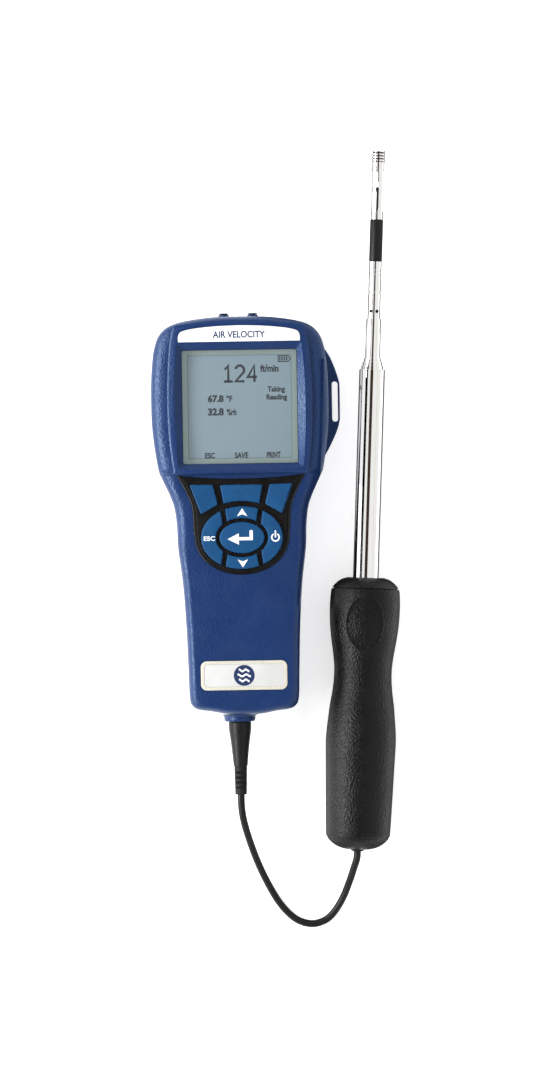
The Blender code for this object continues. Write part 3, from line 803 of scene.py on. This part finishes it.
def lettering(name, words, box, z, look, thick=0.06, bold=0.0):
    """Raised words that fill a box of (left, right, low, high) in millimetres."""
    curve = bpy.data.curves.new(name, "FONT")
    curve.body = words
    curve.extrude = 0.5
    curve.offset = bold
    curve.resolution_u = 4
    source = bpy.data.objects.new(name + "_source", curve)
    bpy.context.scene.collection.objects.link(source)
    graph = bpy.context.evaluated_depsgraph_get()
    mesh = bpy.data.meshes.new_from_object(source.evaluated_get(graph))
    bpy.data.objects.remove(source)
    mesh.name = name
    xs = [v.co.x for v in mesh.vertices]
    ys = [v.co.y for v in mesh.vertices]
    left, right, low, high = box
    wide = (right - left) / (max(xs) - min(xs))
    tall = (high - low) / (max(ys) - min(ys))
    for v in mesh.vertices:
        x = left + (v.co.x - min(xs)) * wide
        y = low + (v.co.y - min(ys)) * tall
        v.co = Vector((x, y, z + thick * v.co.z)) * MM
    mesh.materials.clear()
    return link(bpy.data.objects.new(name, mesh), look)


# Words on the screen: piece, words, box of (left, right, low, high), ink.
READINGS = [
    ("speed_unit", "ft/min", (9.2, 17.3, 63.3, 66.6), "soft"),
    ("state_first", "Taking", (12.3, 20.0, 53.8, 57.0), "soft"),
    ("state_second", "Reading", (11.8, 20.9, 50.3, 53.5), "soft"),
    ("warmth", "67.8", (-14.1, -7.1, 50.2, 53.5), "dark"),
    ("warmth_unit", "°F", (-5.9, -3.3, 50.4, 53.2), "soft"),
    ("damp", "32.8", (-14.1, -7.1, 44.4, 47.7), "dark"),
    ("damp_unit", "%rh", (-5.9, -1.5, 44.4, 47.3), "soft"),
    ("left_choice", "ESC", (-15.7, -11.3, 25.5, 28.1), "soft"),
    ("middle_choice", "SAVE", (-2.6, 3.4, 25.5, 28.1), "soft"),
    ("right_choice", "PRINT", (11.5, 17.7, 25.5, 28.1), "soft"),
]


def screen(looks):
    """The window, the liquid crystal glass under it with its border, and what the glass shows."""
    top = HEAD_FACE - FRONT_WALL - 0.3
    glass_top = top - 1.5
    centre = (0.0, 48.2)
    lens = pad("screen_window", rounded_box(54.6, 54.0, 3.0, centre), top - 1.2, top, looks["window"], 0.1)
    settle(lens, "meter", ["screen_lens"])
    glass_outline = rounded_box(50.6, 50.0, 1.0, centre)
    glass = pad("lcd_glass", glass_outline, glass_top - 2.6, glass_top, looks["lcd"], 0.1)
    settle(glass, "meter", ["lcd_panel"])
    frames = [
        ("lcd_border", (50.2, 49.6, 1.0), (45.8, 45.6, 0.4), 0.02),
        ("lcd_line", (45.9, 45.7, 0.4), (45.3, 45.1, 0.4), 0.03),
    ]
    for name, outer, inner, rise in frames:
        edges = rounded_box(*outer, centre), rounded_box(*inner, centre)
        made = ring_plate(name, *edges, glass_top - 0.05, glass_top + rise, looks[name])
        settle(made, "meter")
    for name, words, box, ink in READINGS:
        bold = 0.05 if ink == "dark" else 0.04
        text = lettering("lcd_" + name, words, box, glass_top + 0.02, looks["lcd_" + ink], bold=bold)
        settle(text, "meter")
    battery_sign(looks["lcd_dark"], glass_top)
    big_reading(looks["lcd_dark"], glass_top)


def stroke(name, line, width, z, look):
    """A bent line of even width, drawn as a thin raised piece."""
    left = []
    right = []
    for i, spot in enumerate(line):
        here = Vector(spot)
        back = (here - Vector(line[max(i - 1, 0)])).normalized()
        ahead = (Vector(line[min(i + 1, len(line) - 1)]) - here).normalized()
        along = (back + ahead).normalized()
        side = Vector((-along.y, along.x))
        reach = width / 2 / max(0.55, along.dot(ahead if ahead.length else back))
        left.append(tuple(here + side * reach))
        right.append(tuple(here - side * reach))
    return prism(name, left + right[::-1], z - 0.02, z + 0.06, look)


def big_reading(look, z):
    """The large number: three digits of thin strokes, 4 mm by 7.3 mm each."""
    bow = [(2.0 - 1.9 * math.cos(math.radians(a)), 5.3 + 2.0 * math.sin(math.radians(a)))
           for a in range(15, 211, 13)]
    digits = [
        (-7.1, [[(0.7, 5.6), (2.2, 7.2), (2.2, 0.3)], [(0.3, 0.35), (4.1, 0.35)]]),
        (-1.8, [bow + [(0.1, 0.35), (4.0, 0.35)]]),
        (3.5, [[(3.1, 0.0), (3.1, 7.2), (0.2, 2.2), (4.2, 2.2)]]),
    ]
    for k, (left, lines) in enumerate(digits):
        for n, line in enumerate(lines):
            spots = [(x + left, y + 59.0) for x, y in line]
            settle(stroke(f"lcd_digit_{k}_{n}", spots, 1.12, z, look), "meter")


def battery_sign(look, z):
    """The charge sign in the screen's upper right corner: an outline with four bars."""
    outer = [(17.0, 67.6), (21.6, 67.6), (22.9, 69.1), (21.6, 70.6), (17.0, 70.6)]
    low, high = z - 0.03, z + 0.05
    settle(ring_plate("lcd_battery", outer, inset(outer, 0.4), low, high, look), "meter")
    for k in range(4):
        left = 17.7 + 0.98 * k
        bar = [(left, 68.2), (left + 0.55, 68.2), (left + 0.55, 70.0), (left, 70.0)]
        settle(prism(f"lcd_bar_{k}", bar, low, high, look), "meter")


def ellipse_arc(half_width, half_height, start, stop, steps):
    """Points of the key cluster's ellipse between two angles in degrees."""
    points = []
    for k in range(steps + 1):
        angle = math.radians(start + (stop - start) * k / steps)
        points.append((half_width * math.cos(angle), OVAL_Y + half_height * math.sin(angle)))
    return points


def ring_key_outline(middle, outer_spread, inner_spread):
    outer = ellipse_arc(18.0, 13.8, middle - outer_spread, middle + outer_spread, 24)
    inner = ellipse_arc(11.5, 8.6, middle + inner_spread, middle - inner_spread, 24)
    return outer + inner


def key_outlines():
    left = [(-22.7, 14.1), (-17.9, 0.9), (-10.4, 5.2), (-12.5, 13.9)]
    arch = spline([(-7.9, 5.5), (-4.0, 6.3), (0.0, 6.6), (4.0, 6.3), (7.9, 5.5)], 4)
    return {
        "softkey_left": rounded(left, 0.8),
        "softkey_right": rounded([(-x, y) for x, y in reversed(left)], 0.8),
        "softkey_middle": arch + rounded_ends([(9.4, 13.8), (-9.4, 13.8)]),
        "up_key": ring_key_outline(90, 24, 34),
        "down_key": ring_key_outline(270, 24, 34),
        "escape_key": ring_key_outline(180, 59, 43),
        "power_key": ring_key_outline(0, 59, 43),
        "enter_key": ellipse_arc(9.9, 6.9, 0, 357, 119),
    }


def rounded_ends(corners):
    """The upper corners of the middle soft key, each cut back a little."""
    right, left = corners
    return [(right[0] - 0.1, right[1] - 0.5), (right[0] - 0.6, right[1]), (left[0] + 0.6, left[1]),
            (left[0] + 0.1, left[1] - 0.5)]


def keypad(looks):
    """The black frame round the keys, with a raised lip along its outline, and the key caps."""
    outline = bezel_outline()
    shoulder = BEZEL_TOP - 0.4
    levels = [
        (0.0, KEYPAD_FACE - 0.9), (0.0, BEZEL_TOP - 0.8), (0.12, BEZEL_TOP - 0.5), (0.4, shoulder),
        (1.2, shoulder), (1.3, BEZEL_TOP - 0.2), (1.42, BEZEL_TOP - 0.05), (1.6, BEZEL_TOP),
    ]
    bezel = loft("keypad_frame", [(inset(outline, drawn), z) for drawn, z in levels], looks["bezel"])
    keys = key_outlines()
    carve(bezel, [prism("hole_" + name, inset(edge, -0.3), 36.0, 46.0) for name, edge in keys.items()])
    soften(bezel, 0.2, 2, 50.0)
    settle(bezel, "meter", ["keypad_bezel"])
    for name, edge in keys.items():
        cap = pad(name + "_cap", edge, KEY_FOOT, KEY_TOP, looks["key"], 0.6, 5)
        settle(cap, name + "_cap", [name])
    key_signs(looks["white_ink"])


def key_sign(name, outline, key, look):
    """A thin white sign that rides on a key's cap."""
    settle(prism(name, outline, KEY_TOP - 0.05, KEY_TOP + 0.05, look), key + "_cap")


def key_signs(look):
    arrow = [(0.0, 1.8), (2.3, -1.7), (0.0, -0.8), (-2.3, -1.7)]
    key_sign("up_sign", [(x + 0.2, y + 1.6) for x, y in arrow], "up_key", look)
    key_sign("down_sign", [(x + 0.2, -y - 20.8) for x, y in arrow[::-1]], "down_key", look)
    enter = [
        (-6.4, -10.1), (-1.4, -7.6), (-1.4, -9.3), (3.3, -9.3), (3.3, -6.6), (3.6, -6.25),
        (4.4, -6.25), (4.75, -6.6), (4.75, -10.7), (-1.4, -10.7), (-1.4, -12.6),
    ]
    key_sign("enter_sign", enter, "enter_key", look)
    words = lettering("escape_sign", "ESC", (-16.9, -11.9, -10.7, -8.7), KEY_TOP, look, 0.1, 0.03)
    settle(words, "escape_key_cap")
    power_sign(look)


def power_sign(look):
    """A broken ring with a stroke through its gap."""
    centre = Vector((14.7, -9.6))
    outer = []
    inner = []
    for k in range(41):
        angle = math.radians(120 + 300 * k / 40)
        spot = Vector((math.cos(angle), math.sin(angle)))
        outer.append(tuple(centre + spot * 1.95))
        inner.append(tuple(centre + spot * 1.3))
    key_sign("power_ring", outer + inner[::-1], "power_key", look)
    bar = rounded_box(0.65, 3.2, 0.3, (centre.x, centre.y + 1.5), 4)
    key_sign("power_stroke", bar, "power_key", look)


def labels(looks):
    face = PANEL_FACE + 0.1
    label = pad("name_plate", label_outline(), PANEL_FACE - 0.3, face, looks["label"], 0.12)
    settle(label, "meter", ["name_label"])
    box = (-11.5, 11.5, 78.4, 81.4)
    words = lettering("name_words", "AIR VELOCITY", box, face, looks["name_ink"], bold=0.022)
    settle(words, "meter")
    rating_plate(looks)


def rating_plate(looks):
    """A pale plate with a raised rim and a round sign with three streams of air."""
    centre = PLATE_CENTRE
    outline = rounded_box(38.1, 12.9, 2.7, centre)
    rim = pad("plate_rim", outline, GRIP_FACE - 0.6, GRIP_FACE + 0.25, looks["plate_rim"], 0.25, 4)
    pocket = rounded_box(35.1, 9.9, 1.6, centre)
    carve(rim, [prism("pocket", pocket, GRIP_FACE, GRIP_FACE + 2.0)])
    settle(soften(rim, 0.1), "meter", ["rating_plate"])
    top = GRIP_FACE + 0.12
    foil = pad("plate_foil", inset(pocket, 0.06), GRIP_FACE - 0.1, top, looks["plate"], 0.05)
    settle(foil, "meter")
    disc = disc_outline(9.2, centre, 16)
    settle(prism("sign_disc", disc, top - 0.05, top + 0.04, looks["name_ink"]), "meter")
    for row in range(3):
        half = 2.9 if row == 1 else 2.3
        middle = [(x * half / 10, 0.42 * math.sin(0.5 * x)) for x in range(-10, 11)]
        edge = [(x, y + 0.42) for x, y in middle] + [(x, y - 0.42) for x, y in reversed(middle)]
        low = centre[1] + 2.2 * (row - 1)
        stream = [(x, y + low) for x, y in edge]
        piece = prism(f"sign_stream_{row}", stream, top - 0.05, top + 0.07, looks["label"])
        settle(piece, "meter")


def sockets(looks):
    """The collar round the probe socket, and the two ports in the top end."""
    place = along_y(SOCKET_X, PARTING)
    collar = [
        (-91.0, 5.9), (-90.8, 6.5), (-90.3, 6.85), (-89.7, 6.95), (-88.8, 6.95), (-88.3, 7.3),
        (-87.9, 8.2), (-87.9, SOCKET_RADIUS), (-91.0, SOCKET_RADIUS),
    ]
    blue = looks["casing"]
    turned_piece("socket_ring", collar, blue, place, "meter", ["socket_collar"], loop=True)
    base = [
        (83.0, 2.15), (88.2, 2.15), (88.2, 2.38), (88.9, 2.36), (89.3, 2.2), (89.4, 1.2), (83.0, 1.2),
    ]
    cap = [(86.0, 1.1), (89.4, 1.1), (89.45, 2.05), (89.8, 2.0), (90.0, 1.7)]
    for side, x in (("left", -PORT_X), ("right", PORT_X)):
        place = along_y(x, PARTING)
        turned_piece(f"top_port_base_{side}", base, blue, place, "meter", (), 48, True)
        nodes = [f"top_port_{side}"]
        turned_piece(f"top_port_plug_{side}", cap, looks["rubber"], place, "meter", nodes, 48)


# ---- Plug and probe ----

def plug(looks):
    """The plug in the meter's socket, and the slotted relief that its cord leaves through."""
    place = along_y(SOCKET_X, PARTING)
    body = spline(
        [(-91.05, 4.7), (-91.8, 5.0), (-95.0, 4.9), (-99.0, 4.35), (-105.0, 3.65), (-110.0, 3.2)], 5
    )
    body += [(-110.7, 3.1), (-110.9, 2.9)]
    turned_piece("plug_shell", body, looks["black"], place, "probe_lead", ["plug_body"])
    sleeve = [(-91.0, 2.5), (-79.0, 2.5), (-78.2, 2.0)]
    nodes = ["plug_contact_sleeve"]
    turned_piece("plug_sleeve", sleeve, looks["steel"], place, "probe_lead", nodes)
    wall = [(-110.95, 2.7), (-111.3, 2.85), (-123.0, 2.6), (-123.35, 2.4)]
    relief = turned("cord_relief", wall, looks["rubber"], place, 64)
    cutters = []
    for row in range(4):
        slot = rounded_box(6.4, 1.0, 0.2, (SOCKET_X, -113.6 - 2.2 * row), 3)
        for side in (-1, 1):
            low, high = sorted((PARTING + side * 1.5, PARTING + side * 4.0))
            cutters.append(prism(f"relief_{row}_{side}", slot, low, high))
    carve(relief, cutters)
    settle(soften(relief, 0.12), "probe_lead", ["strain_relief"])


def handle_half(name, side, look, place):
    """Half of the hollow grip, split along its length. `side` is 1 above, -1 below."""
    profile = spline(HANDLE_PROFILE, 4)
    inside = [p for p in profile if END_CAP_STOP + 0.4 < p[0] < TOP_CAP_START - 0.4]
    first = (END_CAP_STOP + SEAM, between(profile, END_CAP_STOP + SEAM))
    last = (TOP_CAP_START - SEAM, between(profile, TOP_CAP_START - SEAM))
    steps = 48
    rings = []
    for along, radius in [first] + inside + [last]:
        ring = []
        for reach in (radius, radius - 2.0):
            start = math.asin(0.12 / reach)
            sweep = math.pi - 2 * start
            arc = []
            for k in range(steps + 1):
                angle = start + sweep * k / steps
                arc.append((reach * math.cos(angle), along, side * reach * math.sin(angle)))
            ring += arc if reach == radius else arc[::-1]
        rings.append(ring)
    points, faces = stack(rings)
    return add_mesh(name, points, faces, look, place)


def thumb_cutter(place):
    """The tool that leaves a shallow oval dish in the handle's upper side."""
    profile = spline(HANDLE_PROFILE, 4)
    rings = []
    dish = [(0.1, 1.3), (0.4, 1.25), (0.7, 1.1), (0.9, 0.8), (0.97, 0.5), (1.0, 0.1), (1.03, -2.0)]
    for share, depth in dish:
        ring = []
        for k in range(72):
            angle = 2 * math.pi * k / 72
            x = 8.4 * share * math.cos(angle)
            y = 98.9 + 12.0 * share * math.sin(angle)
            ring.append((x, y, math.sqrt(between(profile, y) ** 2 - x * x) - depth))
        rings.append(ring)
    points, faces = stack(rings)
    return add_mesh("thumb", points, faces, None, place)


def handle(looks, place):
    front = handle_half("grip_front", 1, looks["grip"], place)
    carve(front, [thumb_cutter(place)])
    settle(soften(front, 0.25, 3), "probe_handle", ["handle_front_shell"])
    rear = handle_half("grip_rear", -1, looks["grip"], place)
    settle(soften(rear, 0.2), "probe_handle", ["handle_rear_shell"])
    profile = spline(HANDLE_PROFILE, 4)
    seam_radius = between(profile, TOP_CAP_START + 0.3)
    top = [(TOP_CAP_START - SEAM, seam_radius - 0.7), (TOP_CAP_START + 0.3, seam_radius - 0.7)]
    top.append((TOP_CAP_START + 0.3, seam_radius))
    top += [p for p in profile if p[0] > TOP_CAP_START + 0.5]
    top += [(HANDLE_LENGTH, 5.85), (TOP_CAP_START - SEAM, 5.85)]
    cap = turned("grip_top_cap", top, looks["grip"], place, loop=True)
    settle(soften(cap, 0.2), "probe_handle", ["handle_top_cap"])
    end = [p for p in profile if p[0] < END_CAP_STOP - 0.3]
    rim = END_CAP_STOP - SEAM
    end += [(rim, between(profile, rim)), (rim, 3.7), (-1.6, 3.7)]
    cap = turned("grip_end_cap", end, looks["grip"], place, loop=True)
    settle(soften(cap, 0.15), "probe_handle", ["handle_end_cap"])
    grommet = [(-2.55, 2.0), (-2.4, 2.5), (-1.6, 3.5), (5.0, 3.5), (5.0, 1.7)]
    nodes = ["cable_grommet"]
    turned_piece("cord_grommet", grommet, looks["rubber"], place, "probe_handle", nodes, 48)


def telescope(looks, place):
    for name, body, outer, inner, low, high in TUBES:
        if name == "tip_tube":
            made = tip_tube(outer, inner, low, high, looks["chrome"], place)
        else:
            section = [
                (low, outer), (high - 0.35, outer), (high - 0.1, outer - 0.08), (high, outer - 0.25),
                (high, inner), (low, inner),
            ]
            made = turned(name + "_fine", section, looks["chrome"], place, loop=True)
        settle(made, body, [name])
    core = [(VENT_Y - 4.2, 2.2), (VENT_Y + 3.8, 2.2)]
    turned_piece("vent_core", core, looks["black"], place, "probe_tip", (), 48)


def tip_tube(outer, inner, low, high, look, place):
    """The thinnest tube, with three crimped rings near its upper end and two vent holes."""
    section = [(low, outer)]
    for ring in (245.6, 253.6, 255.4):
        section += [(ring - 0.35, outer), (ring - 0.15, outer - 0.18)]
        section += [(ring + 0.15, outer - 0.18), (ring + 0.35, outer)]
    section += [(high - 0.2, outer), (high, outer - 0.2), (high, inner), (low, inner)]
    tube = turned("tip_tube_fine", section, look, place, loop=True)
    holes = []
    for x in (-1.3, 1.3):
        hole = prism(f"vent_{x}", disc_outline(1.5, (x, VENT_Y)), 1.0, 4.0)
        hole.matrix_world = place
        holes.append(hole)
    return carve(tube, holes)


def probe_tip(looks, place):
    """The black band, the slotted cage with its two sensors, and the ribbed cap."""
    chrome = looks["chrome"]
    black = looks["black"]
    body = "probe_tip"
    band = [
        (259.55, 2.75), (259.75, 2.9), (277.6, 2.9), (277.85, 2.75), (277.85, 1.3), (259.55, 1.3),
    ]
    turned_piece("black_band", band, black, place, body, ["insulating_band"], 64, True)
    wall = [(277.9, 2.6), (278.05, 2.75), (302.85, 2.75), (303.0, 2.6), (303.0, 2.2), (277.9, 2.2)]
    cage = turned("sensor_cage", wall, chrome, place, loop=True)
    cutters = []
    for k in range(3):
        gap = prism(f"gap_{k}", rounded_box(3.5, 18.0, 1.2, (0.0, 290.5)), 0.5, 4.0)
        gap.matrix_world = place @ Matrix.Rotation(math.radians(120 * k + 90), 4, "Y")
        cutters.append(gap)
    carve(cage, cutters)
    settle(soften(cage, 0.06), body, ["sensor_shroud"])
    stem = [(278.2, 0.5), (289.8, 0.5), (290.6, 0.7), (291.2, 0.9), (292.0, 0.88), (292.4, 0.6)]
    turned_piece("speed_sensor", stem, black, place, body, ["velocity_sensor"], 32)
    bead = [(294.6, 0.5), (295.0, 0.8), (296.0, 0.85), (297.0, 0.6), (302.6, 0.5)]
    turned_piece("heat_sensor", bead, looks["steel"], place, body, ["temperature_sensor"], 32)
    ribs = [(303.05, 2.7), (303.2, 2.8), (303.55, 2.8)]
    for rib in range(3):
        low = 303.9 + 1.3 * rib
        ribs += [(low - 0.1, 2.5), (low, 2.97), (low + 0.75, 2.97), (low + 0.85, 2.5)]
    ribs += [(307.7, 2.5), (307.9, 2.85), (308.3, 2.8), (308.7, 2.5), (308.9, 1.9)]
    turned_piece("ribbed_cap", ribs, chrome, place, body, ["tip_cap"])
    # A black core that shows only in the cap's grooves: painted shade that darkens them.
    turned_piece("cap_groove_painted_shade", [(303.7, 2.72), (307.75, 2.72)], black, place, body, (), 48)


# ---- CAD pieces that keep their shape ----

def carried_over(looks):
    """Hidden and plain pieces stay as the CAD made them, with a finished material."""
    kept = {
        "casing": ["battery_door"],
        "steel": [f"case_screw_{i}" for i in range(1, 5)] + ["battery_stud_plus", "battery_stud_minus"],
        "black": [
            "probe_socket", "lcd_holder", "processor_chip", "buzzer", "battery_tray", "battery_snap",
            "tube_bushing",
        ],
        "membrane": ["keypad_membrane"],
        "board": ["main_board", "handle_board"],
        "battery": ["battery_block"],
    }
    for look, names in kept.items():
        for name in names:
            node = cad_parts[name]
            node.data.materials.clear()
            node.data.materials.append(looks[look])
    soften(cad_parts["battery_door"], 0.25)


# ---- Stage ----

def add_floor():
    mesh = bpy.data.meshes.new("floor")
    reach = 6.0
    corners = [(-reach, -reach, 0), (reach, -reach, 0), (reach, reach, 0), (-reach, reach, 0)]
    mesh.from_pydata(corners, [], [(0, 1, 2, 3)])
    look = Look("pale_floor", (0.9, 0.9, 0.9), 0.95, specular=0.1)
    look.mottle(400.0, (0.89, 0.89, 0.89))
    look.glow((0.56, 0.56, 0.56))
    link(bpy.data.objects.new("floor", mesh), look.material)


def hang(obj, lean, distance):
    """Places a light or a board over the probe, with its long side along the probe.

    `lean` is its direction from straight above, in degrees, positive to the right.
    """
    angle = math.radians(lean)
    obj.location = (0.06 + distance * math.sin(angle), 0.0, 0.016 + distance * math.cos(angle))
    obj.rotation_euler = (0.0, angle, 0.0)


def add_key_light():
    data = bpy.data.lights.new("key_light", "AREA")
    data.energy = 19.0
    data.shape = "RECTANGLE"
    data.size = 0.28
    data.size_y = 1.3
    lamp = bpy.data.objects.new("key_light", data)
    hang(lamp, -60.0, 1.1)
    bpy.context.scene.collection.objects.link(lamp)


def reflected_board(name, corners, shade, glow=None):
    """A flat board, with corners in metres, that only reflections see."""
    mesh = bpy.data.meshes.new(name)
    mesh.from_pydata(corners, [], [tuple(range(len(corners)))])
    look = Look(name, shade, 1.0, specular=0.0)
    look.mottle(300.0, [c * 0.9 for c in shade])
    if glow:
        look.glow(glow)
    board = link(bpy.data.objects.new(name, mesh), look.material)
    board.visible_camera = False
    board.visible_diffuse = False
    board.visible_shadow = False
    board.visible_transmission = False
    return board


def add_card(name, lean, distance, width, shade):
    """A long board over the probe. `width` is the angle that it covers."""
    x = distance * math.tan(math.radians(width / 2))
    y = 1.4
    card = reflected_board(name, [(-x, -y, 0), (x, -y, 0), (x, y, 0), (-x, y, 0)], shade)
    hang(card, lean, distance)


def lay_beside_probe(board, height):
    """Puts a board into the probe's own frame, but at a height over the floor."""
    board.location = (HANDLE_END[0] * MM, HANDLE_END[1] * MM, height)
    board.rotation_euler = (0.0, 0.0, -PROBE_LEAN)


def add_floor_strip(name, side, reach, shade):
    """A strip on the floor beside the probe, wider beside the tip, for the dark edges of the tubes."""
    outline = [(5, -200), (reach, -200), (reach, 235), (52, 235), (52, 345), (5, 345)]
    strip = reflected_board(name, [(side * x * MM, y * MM, 0.0) for x, y in outline], shade)
    lay_beside_probe(strip, 0.0004)


def add_wall(name, outline, shade, glow=None):
    """A board that stands beside the tubes, unseen inside the meter, for their long stripes."""
    wall = reflected_board(name, [(-22.0 * MM, y * MM, z * MM) for y, z in outline], shade, glow)
    lay_beside_probe(wall, 0.0)


def add_lights():
    world = bpy.data.worlds.new("studio")
    bpy.context.scene.world = world
    world.use_nodes = True
    background = world.node_tree.nodes["Background"]
    background.inputs["Color"].default_value = (1.0, 1.0, 1.0, 1.0)
    background.inputs["Strength"].default_value = 0.87
    add_key_light()
    dark = (0.005, 0.005, 0.005)
    grey = (0.16, 0.16, 0.16)
    white = (0.9, 0.9, 0.9)
    add_card("card_above", -2.0, 1.0, 26.0, (0.022, 0.015, 0.011))
    add_card("card_left", -46.0, 0.9, 16.0, dark)
    add_card("card_low_left", -88.0, 0.7, 4.0, dark)
    add_card("card_right", 53.0, 0.9, 4.0, (0.4, 0.38, 0.3))
    add_floor_strip("strip_right", 1, 30, grey)
    add_floor_strip("strip_left", -1, 24, grey)
    start, stop = 105.0, 232.0
    low = [(start, 0.5), (128.0, 0.5), (190.0, 14.5), (stop, 15.0), (stop, 17.6), (start, 17.6)]
    add_wall("wall_low", low, dark)
    add_wall("wall_middle", [(start, 17.6), (stop, 17.6), (stop, 30.7), (start, 30.7)], white, white)
    add_wall("wall_high", [(start, 30.7), (215.0, 30.7), (215.0, 42.5), (start, 42.5)], dark)
    bpy.context.scene.view_settings.view_transform = "Standard"


def all_looks():
    looks = {
        "casing": casing_look(),
        "key": key_look(),
        "black": black_look("black_plastic", 0.42),
        "bezel": black_look("bezel_black", 0.35, (0.0035, 0.003, 0.003)),
        "grip": grip_look(),
        "rubber": rubber_look(),
        "cable": cable_look(),
        "chrome": chrome_look(),
        "steel": steel_look(),
        "window": window_look(),
        "lcd": lcd_look_with_painted_glow(),
        "lcd_border": lcd_border_look_with_painted_glow(),
        "lcd_line": ink_look("lcd_line", (0.12, 0.17, 0.2), 0.4),
        "lcd_dark": ink_look("lcd_dark", (0.004, 0.008, 0.016), 0.5),
        "lcd_soft": ink_look("lcd_soft", (0.006, 0.01, 0.018), 0.5),
        "label": ink_look("white_label", (0.88, 0.89, 0.9), 0.4),
        "name_ink": ink_look("name_ink", (0.012, 0.03, 0.1), 0.4),
        "white_ink": ink_look("white_ink", (0.85, 0.86, 0.87), 0.5),
        "plate": plate_look(),
        "plate_rim": ink_look("plate_rim", (0.6, 0.58, 0.5), 0.35),
        "board": board_look(),
        "battery": battery_look(),
        "membrane": membrane_look(),
    }
    return {name: look.material for name, look in looks.items()}


def main():
    add_camera()
    looks = all_looks()
    place = probe_place()
    add_cord(looks["cable"])
    front_casing(looks["casing"])
    rear_casing(looks["casing"])
    screen(looks)
    keypad(looks)
    labels(looks)
    sockets(looks)
    plug(looks)
    handle(looks, place)
    telescope(looks, place)
    probe_tip(looks, place)
    carried_over(looks)
    add_floor()
    add_lights()


main()
